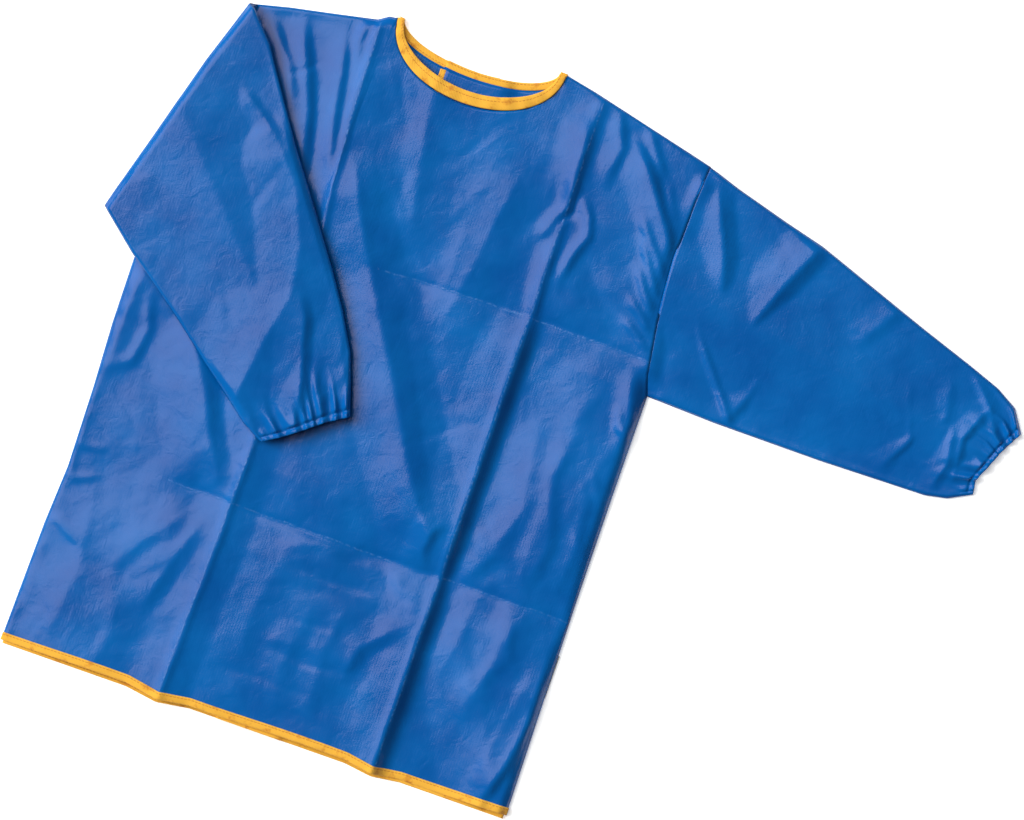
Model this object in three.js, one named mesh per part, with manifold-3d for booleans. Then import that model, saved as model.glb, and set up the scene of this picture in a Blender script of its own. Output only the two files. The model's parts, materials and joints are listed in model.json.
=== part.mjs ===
// A child's long-sleeved painting smock, lying flat on its back. The wearer's left sleeve (+X) is spread out
// to the side and the wearer's right sleeve (-X) is folded across the front. It opens down the back, where two
// overlapping panels close with hook-and-loop patches. Every cloth layer is a plain plate, and what holds the
// layers apart is the seams. Millimetres, +Y towards the neck, +Z up, origin under the middle of the back.
import * as THREE from "three";
import { mergeVertices } from "three/addons/utils/BufferGeometryUtils.js";
import Module from "manifold-3d";

const wasm = await Module();
wasm.setup();

// Driving dimensions, in millimetres and degrees.
const FABRIC = 1.2; // one layer of cloth
const TAPE = 1.8; // binding tape folded round an edge
const GAP = 0.3; // clearance between pieces that touch
const SEAM = 3; // width of a seam allowance
const LOFT = 14; // height of the front panel's underside
const BODY_LENGTH = 648; // hem to neck point
const HEM_HALF_WIDTH = 239;
const CHEST_HALF_WIDTH = 235; // at the armpits
const SHOULDER_HALF_WIDTH = 213; // at the tops of the armholes
const ARMPIT_DROP = 251; // below the neck point
const SHOULDER_DROP = 37; // below the neck point
const NECK_SHIFT = -10; // the neck lies a little towards the wearer's right
const NECK_HALF_WIDTH = 74;
const FRONT_NECK_DEPTH = 46;
const BACK_NECK_DEPTH = 26;
const SHOULDER_TAPE = 6.5; // width of the neck binding at the neck points
const FRONT_NECK_TAPE = 12;
const BACK_NECK_TAPE = 6.5;
const HEM_TAPE = 8;
const EDGE_TAPE = 6; // binding of the back opening's edges
const TAPE_RETURN = 6; // how far the neck binding's ends run down from the front to the back
const LAP_HALF = 29; // how far each back panel passes the middle of the opening
const HINGE_INSET = 6; // width of the fixed part of the back at the hem
const PATCH_WIDTH = 20;
const PATCH_LENGTH = 40;
const PATCH_THICKNESS = 1;
const PATCH_COUNT = 3;
const PATCH_PITCH = 140;
const FIRST_PATCH_DROP = 62; // neck point to the first patch's middle
const CROWN_TOP = 6; // armhole to the sleeve's fold, at the shoulder
const CROWN_BOTTOM = 48; // armhole to the sleeve's fold, at the underarm
const SLEEVE_LOFT = 10; // outer height of a sleeve
const UNDERARM_LENGTH = 232; // fold to the start of the cuff's gathers
const WRIST_WIDTH = 114; // where the gathers start
const WRIST_SKEW = 8; // how much longer the sleeve's top edge is there
const GATHER_LENGTH = 20;
const CUFF_RISE = 5; // cuff's lower corner above the underarm line
const CUFF_WIDTH = 81;
const CUFF_TILT = 20.9; // of the cuff from square
const CASING_LENGTH = 9;
const ELASTIC_WIDTH = 6;
const ELASTIC_THICKNESS = 0.8;
const FOLDED_SLEEVE_ANGLE = -37.7; // of the folded sleeve's underarm seam
const LABEL_WIDTH = 28;
const LABEL_LENGTH = 40;
const LABEL_THICKNESS = 0.5;
const LABEL_RISE = 110; // hem to the label's lower edge
const CURVE_STEPS = 24; // straight steps in a neck curve
const PAST = 20; // how far a cutting tool runs past what it cuts

const MATERIALS = {
  cloth: { color: 0x1257ac, roughness: 0.42, metalness: 0 },
  seam: { color: 0x0d4690, roughness: 0.6, metalness: 0 },
  tape: { color: 0xf6b32a, roughness: 0.65, metalness: 0 },
  elastic: { color: 0xe9e9e4, roughness: 0.8, metalness: 0 },
  patch: { color: 0x17499a, roughness: 0.95, metalness: 0 },
  label: { color: 0xf4f4f0, roughness: 0.7, metalness: 0 },
};

// Places that follow from the sizes above.
const NECK_Y = BODY_LENGTH / 2;
const HEM_Y = -NECK_Y;
const ARMPIT_Y = NECK_Y - ARMPIT_DROP;
const SHOULDER_Y = NECK_Y - SHOULDER_DROP;
const TAPE_PROUD = (TAPE - FABRIC) / 2; // binding tape stands this far off each face of the cloth
const FRONT_TOP = LOFT + FABRIC;
const SEAM_LOW = FABRIC + GAP;
const SEAM_HIGH = LOFT - GAP;
const FOLDED_SLEEVE_Z = FRONT_TOP + GAP; // underside of the sleeve that lies on the front
const HOOK_Z = FABRIC + GAP;
const LOOP_Z = HOOK_Z + PATCH_THICKNESS + GAP;
const LAP_Z = LOOP_Z + PATCH_THICKNESS + GAP; // underside of the inner back panel where it laps
const OUTER_EDGE_X = NECK_SHIFT + LAP_HALF; // free edge of the outer back panel
const INNER_EDGE_X = NECK_SHIFT - LAP_HALF; // free edge of the inner back panel
const STEP_X = OUTER_EDGE_X + GAP; // where the inner panel steps up over the outer one

const smock = new THREE.Group();

// ---------------------------------------------------------------- solids

// A closed three.js geometry as a manifold-3d solid.
function solidOf(geometry) {
  const bare = new THREE.BufferGeometry().setAttribute(
    "position",
    (geometry.index ? geometry.toNonIndexed() : geometry).getAttribute("position"),
  );
  const merged = mergeVertices(bare, 1e-4);
  return new wasm.Manifold(
    new wasm.Mesh({
      numProp: 3,
      vertProperties: merged.attributes.position.array,
      triVerts: new Uint32Array(merged.index.array),
    }),
  );
}

// An outline of [x, y] points, in either direction, as a plate from z = low to z = high.
function plate(outline, low, high) {
  const shape = new THREE.Shape(outline.map(([x, y]) => new THREE.Vector2(x, y)));
  const geometry = new THREE.ExtrudeGeometry(shape, {
    depth: high - low,
    bevelEnabled: false,
  });
  geometry.translate(0, 0, low);
  return solidOf(geometry);
}

// A block between two corners.
function block([x0, y0, z0], [x1, y1, z1]) {
  const geometry = new THREE.BoxGeometry(x1 - x0, y1 - y0, z1 - z0);
  geometry.translate((x0 + x1) / 2, (y0 + y1) / 2, (z0 + z1) / 2);
  return solidOf(geometry);
}

// Adds a solid to the smock as a named mesh.
function piece(name, solid, material) {
  const { vertProperties, triVerts, numProp, numVert } = solid.getMesh();
  const places = new Float32Array(numVert * 3);
  for (let i = 0; i < numVert; i++) {
    places.set(vertProperties.subarray(i * numProp, i * numProp + 3), i * 3);
  }
  const geometry = new THREE.BufferGeometry()
    .setAttribute("position", new THREE.BufferAttribute(places, 3))
    .setIndex(new THREE.BufferAttribute(new Uint32Array(triVerts), 1));
  geometry.computeVertexNormals();
  const mesh = new THREE.Mesh(
    geometry,
    new THREE.MeshStandardMaterial({ ...MATERIALS[material], name: material }),
  );
  mesh.name = name;
  smock.add(mesh);
}

// ---------------------------------------------------------------- outlines

// The point on the line from a to b at a given distance past a, and the same moved sideways to the left.
function along([ax, ay], [bx, by], distance, sideways = 0) {
  const length = Math.hypot(bx - ax, by - ay);
  const [ux, uy] = [(bx - ax) / length, (by - ay) / length];
  return [ax + ux * distance - uy * sideways, ay + uy * distance + ux * sideways];
}

// A strip of the given width beside the line from a to b, on its left if the width is above 0.
function strip(a, b, width, startInset, endInset) {
  const length = Math.hypot(b[0] - a[0], b[1] - a[1]);
  return [
    along(a, b, startInset),
    along(a, b, length - endInset),
    along(a, b, length - endInset, width),
    along(a, b, startInset, width),
  ];
}

// Half an ellipse below the neck point, as points from -X to +X.
function neckCurve(halfWidth, depth) {
  return Array.from({ length: CURVE_STEPS + 1 }, (_, i) => {
    const angle = Math.PI + (Math.PI * i) / CURVE_STEPS;
    return [
      NECK_SHIFT + halfWidth * Math.cos(angle),
      NECK_Y + depth * Math.sin(angle),
    ];
  });
}

// What lies inside a neck curve, as a plate that runs on above the neck point.
function neckHole(halfWidth, depth, low, high) {
  const curve = neckCurve(halfWidth, depth);
  const top = NECK_Y + PAST;
  return plate([...curve, [curve.at(-1)[0], top], [curve[0][0], top]], low, high);
}

// Where two lines cross, each given by two points.
function crossing([a, b], [c, d]) {
  const [rx, ry] = [b[0] - a[0], b[1] - a[1]];
  const [sx, sy] = [d[0] - c[0], d[1] - c[1]];
  const t = ((c[0] - a[0]) * sy - (c[1] - a[1]) * sx) / (rx * sy - ry * sx);
  return [a[0] + rx * t, a[1] + ry * t];
}

// A convex outline with each side moved: inwards by the wall, or outwards past it if that side is open.
function cavity(outline, openSides, wall) {
  const area = outline.reduce((sum, [x, y], i) => {
    const [nx, ny] = outline[(i + 1) % outline.length];
    return sum + x * ny - nx * y;
  }, 0);
  const inwards = Math.sign(area);
  const sides = outline.map((a, i) => {
    const b = outline[(i + 1) % outline.length];
    const move = inwards * (openSides.includes(i) ? -PAST : wall);
    return [along(a, b, 0, move), along(b, a, 0, -move)];
  });
  return sides.map((side, i) => crossing(sides.at(i - 1), side));
}

// A flat tube over a convex outline, walled all round except at its open sides.
function flatTube(outline, openSides, low, high, wall) {
  const inside = plate(cavity(outline, openSides, wall), low + wall, high - wall);
  return plate(outline, low, high).subtract(inside);
}

// ---------------------------------------------------------------- body

const frontNeckHalf = NECK_HALF_WIDTH + SHOULDER_TAPE;
const neckPoint = (side) => [NECK_SHIFT + side * frontNeckHalf, NECK_Y];
const shoulder = (side) => [side * SHOULDER_HALF_WIDTH, SHOULDER_Y];
const armpit = (side) => [side * CHEST_HALF_WIDTH, ARMPIT_Y];
const hemCorner = (side) => [side * HEM_HALF_WIDTH, HEM_Y];
const hingeFoot = (side) => [side * (HEM_HALF_WIDTH - HINGE_INSET), HEM_Y];

// The side edge's x at a height above the hem line.
function sideX(side, y) {
  return crossing([hemCorner(side), armpit(side)], [[0, y], [1, y]])[0];
}

function frontPanel() {
  const hemLine = HEM_Y + HEM_TAPE + GAP;
  const outline = [
    [sideX(-1, hemLine), hemLine],
    [sideX(1, hemLine), hemLine],
    armpit(1),
    shoulder(1),
    neckPoint(1),
    neckPoint(-1),
    shoulder(-1),
    armpit(-1),
  ];
  const hole = neckHole(
    frontNeckHalf + GAP,
    FRONT_NECK_DEPTH + FRONT_NECK_TAPE + GAP,
    LOFT - PAST,
    FRONT_TOP + PAST,
  );
  return plate(outline, LOFT, FRONT_TOP).subtract(hole);
}

// The neck binding in front, with an end that runs down to the back binding at each neck point.
function frontNeckBinding() {
  const [low, high] = [LOFT - TAPE_PROUD, FRONT_TOP + TAPE_PROUD];
  const below = block([-PAST * PAST, HEM_Y, 0], [PAST * PAST, NECK_Y, high]);
  const band = (from, to) =>
    neckHole(frontNeckHalf, FRONT_NECK_DEPTH + FRONT_NECK_TAPE, from, to)
      .subtract(neckHole(NECK_HALF_WIDTH, FRONT_NECK_DEPTH, from - PAST, to + PAST))
      .intersect(below);
  const ends = band(TAPE + GAP, high).intersect(
    block([-PAST * PAST, NECK_Y - TAPE_RETURN, 0], [PAST * PAST, NECK_Y, high]),
  );
  return band(low, high).add(ends);
}

function frontHemBinding() {
  return plate(
    [
      hemCorner(-1),
      hemCorner(1),
      [sideX(1, HEM_Y + HEM_TAPE), HEM_Y + HEM_TAPE],
      [sideX(-1, HEM_Y + HEM_TAPE), HEM_Y + HEM_TAPE],
    ],
    LOFT - TAPE_PROUD,
    FRONT_TOP + TAPE_PROUD,
  );
}

// The part of the back that is sewn to the shoulder and side seams, outside the line where the panel folds open.
function backSide(side) {
  const outline = [
    hemCorner(side),
    along(hingeFoot(side), neckPoint(side), 0, side * GAP * -1),
    along(neckPoint(side), hingeFoot(side), 0, side * GAP),
    shoulder(side),
    armpit(side),
  ];
  return plate(outline, 0, FABRIC);
}

const seamWall = (outline) => plate(outline, SEAM_LOW, SEAM_HIGH);

function shoulderSeam(side) {
  return seamWall(strip(neckPoint(side), shoulder(side), -side * SEAM, SEAM, 2 * SEAM));
}

function sideSeam(side) {
  const foot = HEM_Y + HEM_TAPE + GAP;
  const top = ARMPIT_Y - GAP * 2;
  return seamWall([
    [sideX(side, foot), foot],
    [sideX(side, top), top],
    [sideX(side, top) - side * SEAM, top],
    [sideX(side, foot) - side * SEAM, foot],
  ]);
}

// The seam allowance round an armhole: a flat ring that the arm passes through.
function armholeSeam(side) {
  const outline = strip(armpit(side), shoulder(side), side * SEAM, SEAM / 2, SEAM / 2);
  return flatTube(outline, [0, 2], SEAM_LOW, SEAM_HIGH, 1);
}

function careLabel() {
  const foot = HEM_Y + LABEL_RISE;
  const edge = sideX(1, foot + LABEL_LENGTH) - SEAM - GAP;
  return block(
    [edge - LABEL_WIDTH, foot, SEAM_LOW],
    [edge, foot + LABEL_LENGTH, SEAM_LOW + LABEL_THICKNESS],
  );
}

piece("front_panel", frontPanel(), "cloth");
piece("neck_binding_front", frontNeckBinding(), "tape");
piece("hem_binding_front", frontHemBinding(), "tape");
piece("care_label", careLabel(), "label");
for (const [name, side] of [["right", -1], ["left", 1]]) {
  piece(`${name}_back_side`, backSide(side), "cloth");
  piece(`${name}_shoulder_seam`, shoulderSeam(side), "seam");
  piece(`${name}_side_seam`, sideSeam(side), "seam");
  piece(`${name}_armhole_seam`, armholeSeam(side), "seam");
}

// ---------------------------------------------------------------- back opening

// One back panel from its fold line to its free edge, hem to neck, at a thickness.
function backOutline(side, freeEdge) {
  return [
    along(hingeFoot(side), neckPoint(side), 0, side * GAP),
    [freeEdge, HEM_Y],
    [freeEdge, NECK_Y],
    along(neckPoint(side), hingeFoot(side), 0, side * GAP * -1),
  ];
}

function outerPanel(thickness) {
  return plate(backOutline(-1, OUTER_EDGE_X), 0, thickness);
}

// The inner panel lies on the table beside the outer one and steps up to lap over it.
function innerPanel(thickness) {
  const whole = backOutline(1, INNER_EDGE_X);
  const slab = (x0, x1) => block([x0, HEM_Y - PAST, -PAST], [x1, NECK_Y + PAST, LOFT]);
  const lap = plate(whole, LAP_Z, LAP_Z + thickness).intersect(
    slab(INNER_EDGE_X - PAST, STEP_X + FABRIC),
  );
  const riser = plate(whole, 0, LAP_Z + thickness).intersect(
    slab(STEP_X, STEP_X + FABRIC),
  );
  const flat = plate(whole, 0, thickness).intersect(slab(STEP_X, HEM_HALF_WIDTH));
  return lap.add(riser).add(flat);
}

// Cuts a back panel into its cloth and the bindings of its hem, its free edge and its part of the neck.
function backPieces(name, panel, side, freeEdge) {
  const [low, high] = [-PAST, LOFT];
  const [west, east] = [-HEM_HALF_WIDTH - PAST, HEM_HALF_WIDTH + PAST];
  const rows = (y0, y1) => block([west, y0, low], [east, y1, high]);
  const hemTop = HEM_Y + HEM_TAPE;
  const tapeX = freeEdge + side * EDGE_TAPE;
  const columns = (from) =>
    block([Math.min(from, side * east), HEM_Y, low], [Math.max(from, side * east), NECK_Y, high]);
  const neck = (grow) =>
    neckHole(frontNeckHalf + grow, BACK_NECK_DEPTH + BACK_NECK_TAPE + grow, low, high);
  const middle = (thickness) =>
    panel(thickness).intersect(rows(hemTop + GAP, NECK_Y)).subtract(neck(GAP));
  const neckEdge = neckHole(NECK_HALF_WIDTH, BACK_NECK_DEPTH, low, high);
  piece(`hem_binding_back_${name}`, panel(TAPE).intersect(rows(HEM_Y, hemTop)), "tape");
  piece(`neck_binding_back_${name}`, panel(TAPE).intersect(neck(0)).subtract(neckEdge), "tape");
  piece(`back_edge_binding_${name}`, middle(TAPE).subtract(columns(tapeX)), "tape");
  piece(`${name}_back_flap`, middle(FABRIC).intersect(columns(tapeX + side * GAP)), "cloth");
}

backPieces("right", outerPanel, -1, OUTER_EDGE_X);
backPieces("left", innerPanel, 1, INNER_EDGE_X);

for (let i = 0; i < PATCH_COUNT; i++) {
  const y = NECK_Y - FIRST_PATCH_DROP - i * PATCH_PITCH;
  const patch = (low) =>
    block(
      [NECK_SHIFT - PATCH_WIDTH / 2, y - PATCH_LENGTH / 2, low],
      [NECK_SHIFT + PATCH_WIDTH / 2, y + PATCH_LENGTH / 2, low + PATCH_THICKNESS],
    );
  piece(`hook_patch_${i + 1}`, patch(HOOK_Z), "patch");
  piece(`loop_patch_${i + 1}`, patch(LOOP_Z), "patch");
}

// ---------------------------------------------------------------- sleeves

const foldTop = (side) => [side * (SHOULDER_HALF_WIDTH + CROWN_TOP), SHOULDER_Y];
const foldFoot = (side) => [side * (CHEST_HALF_WIDTH + CROWN_BOTTOM), ARMPIT_Y];

// The top of a sleeve, sewn into the armhole, up to the line where the sleeve folds.
function sleeveCrown(side) {
  const out = side * GAP;
  const outline = [
    along(armpit(side), shoulder(side), 0, -out),
    along(foldFoot(side), foldTop(side), 0, out),
    along(foldTop(side), foldFoot(side), 0, -out),
    along(shoulder(side), armpit(side), 0, out),
  ];
  return flatTube(outline, [1, 3], 0, FRONT_TOP, FABRIC);
}

// A sleeve from its fold to the cuff. Its own x axis runs along the underarm seam from the fold's foot.
function sleeve(name, side, angle, lies, low) {
  const high = low + SLEEVE_LOFT;
  const turn = THREE.MathUtils.degToRad(angle);
  const tilt = THREE.MathUtils.degToRad(CUFF_TILT);
  const [footX, footY] = foldFoot(side);
  const world = ([x, y]) => [
    footX + x * Math.cos(turn) - y * Math.sin(turn),
    footY + x * Math.sin(turn) + y * Math.cos(turn),
  ];
  const lowerCuff = [UNDERARM_LENGTH + GATHER_LENGTH, CUFF_RISE];
  const cuff = (across, back) =>
    world([
      lowerCuff[0] + across * Math.sin(tilt) - back * Math.cos(tilt),
      lowerCuff[1] + across * Math.cos(tilt) + back * Math.sin(tilt),
    ]);
  const start = lies * GAP;
  const foot = along(foldFoot(side), foldTop(side), 0, start);
  const underarmEnd = world([UNDERARM_LENGTH, 0]);
  const outline = [
    along(foldTop(side), foldFoot(side), 0, -start),
    world([UNDERARM_LENGTH + WRIST_SKEW, WRIST_WIDTH]),
    cuff(CUFF_WIDTH, CASING_LENGTH + GAP),
    cuff(0, CASING_LENGTH + GAP),
    underarmEnd,
    foot,
  ];
  const [CUFF, UNDERARM, FOLD] = [2, 4, 5]; // the outline's open sides
  const tube = flatTube(outline, [CUFF, UNDERARM, FOLD], low, high, FABRIC);
  piece(`${name}_sleeve`, tube, "cloth");
  const inside = FABRIC + GAP;
  const seam = strip(foot, underarmEnd, SEAM, SEAM, SEAM);
  piece(`${name}_underarm_seam`, plate(seam, low + inside, high - inside), "seam");
  const ring = (margin, length, wall) => {
    const back = (CASING_LENGTH - length) / 2;
    const corners = [
      cuff(margin, back),
      cuff(CUFF_WIDTH - margin, back),
      cuff(CUFF_WIDTH - margin, back + length),
      cuff(margin, back + length),
    ];
    return flatTube(corners, [0, 2], low + margin, high - margin, wall);
  };
  piece(`${name}_cuff_casing`, ring(0, CASING_LENGTH, FABRIC), "cloth");
  piece(`${name}_cuff_elastic`, ring(inside, ELASTIC_WIDTH, ELASTIC_THICKNESS), "elastic");
}

piece("right_sleeve_crown", sleeveCrown(-1), "cloth");
piece("left_sleeve_crown", sleeveCrown(1), "cloth");
sleeve("left", 1, 0, -1, 0);
sleeve("right", -1, FOLDED_SLEEVE_ANGLE, -1, FOLDED_SLEEVE_Z);

export default smock;
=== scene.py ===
"""An artist smock apron for a child, laid out flat on its back with one sleeve folded over the front.

Every piece of cloth is a grid of vertices laid over its pattern piece, raised where the cloth is creased.
Lengths inside the file are in millimetres: x towards the wearer's left, y up from the hem, z off the table.
"""

import json
import math

import bmesh
import bpy
import numpy as np
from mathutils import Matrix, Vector, noise


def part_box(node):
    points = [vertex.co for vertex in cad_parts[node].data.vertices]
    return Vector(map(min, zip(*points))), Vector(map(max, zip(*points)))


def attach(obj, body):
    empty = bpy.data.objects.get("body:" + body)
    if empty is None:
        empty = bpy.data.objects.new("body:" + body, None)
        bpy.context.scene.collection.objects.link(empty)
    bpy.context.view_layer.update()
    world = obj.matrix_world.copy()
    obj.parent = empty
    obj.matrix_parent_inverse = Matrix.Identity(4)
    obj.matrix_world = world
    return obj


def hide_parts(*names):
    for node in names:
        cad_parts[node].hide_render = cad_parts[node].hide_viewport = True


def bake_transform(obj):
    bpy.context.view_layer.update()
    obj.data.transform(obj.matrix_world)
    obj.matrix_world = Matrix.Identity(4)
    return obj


bl_info = {
    "name": "Artist smock apron",
    "version": (1, 0, 0),
    "blender": (4, 5, 0),
    "location": "View3D > Sidebar > Smock",
    "description": "Builds a child's long-sleeved painting smock, laid out flat",
    "category": "Add Mesh",
}

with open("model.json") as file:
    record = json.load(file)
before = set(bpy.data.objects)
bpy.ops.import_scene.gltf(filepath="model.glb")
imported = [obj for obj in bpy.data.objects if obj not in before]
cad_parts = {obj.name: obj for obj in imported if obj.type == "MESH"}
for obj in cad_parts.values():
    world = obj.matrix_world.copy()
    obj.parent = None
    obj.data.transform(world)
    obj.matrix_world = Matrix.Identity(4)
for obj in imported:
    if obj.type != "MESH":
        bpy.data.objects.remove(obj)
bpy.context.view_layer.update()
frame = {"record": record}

MM = 0.001


def low(node):
    """The low corner of a CAD node's box, in mm."""
    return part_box(node)[0] / MM


def high(node):
    """The high corner of a CAD node's box, in mm."""
    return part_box(node)[1] / MM


# Landmarks of the smock, read from the frame.
HEM_Y = low("hem_binding_front").y
NECK_Y = high("neck_binding_front").y - HEM_Y
HEM_X = high("hem_binding_front").x
NECK_LEFT = low("neck_binding_front").x
NECK_RIGHT = high("neck_binding_front").x
NECK_X = (NECK_LEFT + NECK_RIGHT) / 2
NECK_LOW = low("neck_binding_front").y - HEM_Y
BACK_NECK_LOW = low("neck_binding_back_right").y - HEM_Y
ARMPIT_Y = low("left_sleeve_crown").y - HEM_Y
SHOULDER_Y = high("left_sleeve_crown").y - HEM_Y
ARMPIT_X = high("left_armhole_seam").x
SHOULDER_X = low("left_sleeve_crown").x
FOLD_FOOT_X = high("left_sleeve_crown").x
OUTER_EDGE = high("back_edge_binding_right").x
INNER_EDGE = low("back_edge_binding_left").x
SLEEVE_BED = low("right_sleeve").z  # underside of the folded sleeve
FOLD_Z = (SLEEVE_BED + high("left_sleeve").z) / 2  # both sleeves fold about this height
HEM_TAPE_WIDTH = high("hem_binding_front").y - HEM_Y - 4


def linear(code):
    """An sRGB hex colour as linear RGBA."""
    channels = [int(code[i : i + 2], 16) / 255 for i in (0, 2, 4)]
    return (*(c / 12.92 if c <= 0.04045 else ((c + 0.055) / 1.055) ** 2.4 for c in channels), 1.0)


# ------------------------------------------------------------------ settings


def colour_property(name, description, code):
    """A colour that starts from an sRGB hex code."""
    return bpy.props.FloatVectorProperty(
        name=name, description=description, subtype="COLOR", size=4, min=0, max=1, default=linear(code)
    )


class SmockClothSettings(bpy.types.PropertyGroup):
    thickness: bpy.props.FloatProperty(
        name="Thickness", description="Thickness of the coated cloth, in mm", default=0.4
    )
    spacing: bpy.props.FloatProperty(
        name="Grid spacing", description="Distance between the cloth's vertices, in mm", default=2.6
    )
    loft: bpy.props.FloatProperty(
        name="Loft", description="Height of the front of the smock off the table, in mm", default=8.0
    )
    crease: bpy.props.FloatProperty(
        name="Creases", description="How strongly the creases stand out", default=1.0
    )
    crumple: bpy.props.FloatProperty(
        name="Crumple", description="Height of the small facets between the creases, in mm", default=1.5
    )
    colour: colour_property("Cloth colour", "Colour of the coated cloth", "0059A7")
    fold_colour: colour_property(
        "Paler cloth colour", "Colour where the coated cloth is a little paler", "026BBA"
    )
    # A paler colour painted along the pressed folds as the highlight on their edges.
    cracked_colour: colour_property(
        "Colour along the pressed lines",
        "Colour where the coating has cracked along a pressed fold",
        "3F7BC2",
    )


class SmockTapeSettings(bpy.types.PropertyGroup):
    thickness: bpy.props.FloatProperty(
        name="Thickness", description="Thickness of a bound edge, in mm", default=1.7
    )
    colour: colour_property("Tape colour", "Colour of the binding tape", "FDBB3A")
    fold_colour: colour_property(
        "Darker tape colour", "Colour where the tape is pressed or rubbed", "E89E2C"
    )
    mark_colour: colour_property("Tape mark colour", "Colour of the darkest mottling", "C97A20")
    thread_colour: colour_property("Thread colour", "Colour of the sewing thread", "D98A2C")


class SmockStageSettings(bpy.types.PropertyGroup):
    floor_colour: colour_property("Floor colour", "Colour of the plain floor", "FFFFFF")
    softbox_power: bpy.props.FloatProperty(
        name="Softbox power", description="Power of the main light, in watts", default=450.0
    )
    low_light: bpy.props.FloatProperty(
        name="Low light", description="Strength of the light that skims the cloth", default=2.55
    )
    fill: bpy.props.FloatProperty(
        name="Fill", description="Strength of the light from all round", default=0.06
    )


# ------------------------------------------------------------------ materials


def add_node(tree, kind, inputs=None, **settings):
    """Adds a shader node. A value in inputs is set on its socket, and an output is linked to it."""
    node = tree.nodes.new(f"ShaderNode{kind}")
    for key, value in settings.items():
        setattr(node, key, value)
    for key, value in (inputs or {}).items():
        if isinstance(value, bpy.types.NodeSocket):
            tree.links.new(value, node.inputs[key])
        else:
            node.inputs[key].default_value = value
    return node


def new_material(name):
    """A material with no nodes yet, and its tree."""
    material = bpy.data.materials.new(name)
    material.use_nodes = True
    tree = material.node_tree
    tree.nodes.clear()
    return material, tree


BAND_PITCH = math.pi / 10  # how far apart a wave texture's bands stand at a scale of 1

# Fine lines of painted highlight along the folds where the front was pressed in its packet: the axis across
# which the line lies, its place on that axis in mm, how far it drifts for each mm along, and where along it
# starts and ends.
HIGHLIGHT_LINES = (
    ("X", 114.2, -0.0065, -10.0, 640.0),
    ("X", -92.0, 0.027, -10.0, 255.0),
    ("X", -73.0, -0.0475, 400.0, 650.0),
    ("Y", 426.0, 0.03, -30.0, 112.0),
    ("Y", 430.0, -0.012, 112.0, 228.0),
    ("Y", 181.0, -0.01, -145.0, 70.0),
    ("Y", 181.0, 0.0, 112.0, 236.0),
)
LINE_REACH = 4.0  # how far noise bends the pressed lines, in mm


def pressed_lines(tree, place):
    """1 on the lines where a highlight is painted along a pressed fold, and 0 elsewhere."""
    drift = add_node(tree, "TexNoise", {"Vector": place, "Scale": 35.0, "Detail": 2.0}).outputs[1]
    reach = (LINE_REACH * MM, LINE_REACH * MM, 0.0)
    bent = add_node(tree, "VectorMath", {0: drift, 1: reach, 2: place}, operation="MULTIPLY_ADD").outputs[0]
    split = add_node(tree, "SeparateXYZ", {0: bent}).outputs
    result = 0.0
    for axis, at, lean, start, end in HIGHLIGHT_LINES:
        across, along = (split[0], split[1]) if axis == "X" else (split[1], split[0])
        # The noise moves every place by half of its reach on average, so the line's place moves as far.
        offset = (at + LINE_REACH / 2) * MM
        line = add_node(tree, "Math", {0: along, 1: lean, 2: offset}, operation="MULTIPLY_ADD").outputs[0]
        gap = add_node(tree, "Math", {0: across, 1: line}, operation="SUBTRACT").outputs[0]
        away = add_node(tree, "Math", {0: gap}, operation="ABSOLUTE").outputs[0]
        # Drawn about 1.5 mm wide, wider than the thin highlight on a real fold edge.
        fade = {"Value": away, "From Min": 0.4 * MM, "From Max": 1.1 * MM, "To Min": 1.0, "To Max": 0.0}
        on_line = add_node(tree, "MapRange", fade).outputs[0]
        middle, half = (start + end) / 2 * MM, (end - start) / 2 * MM
        within = add_node(tree, "Math", {0: along, 1: middle, 2: half}, operation="COMPARE").outputs[0]
        part = add_node(tree, "Math", {0: on_line, 1: within}, operation="MULTIPLY").outputs[0]
        result = add_node(tree, "Math", {0: part, 1: result}, operation="MAXIMUM").outputs[0]
    # Noise breaks the painted highlight lines into pieces.
    breakup_noise = add_node(tree, "TexNoise", {"Vector": place, "Scale": 260.0, "Detail": 2.0}).outputs[0]
    unbroken = add_node(tree, "MapRange", {"Value": breakup_noise, "From Min": 0.42, "From Max": 0.75}).outputs[0]
    return add_node(tree, "Math", {0: result, 1: unbroken}, operation="MULTIPLY").outputs[0]


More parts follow.
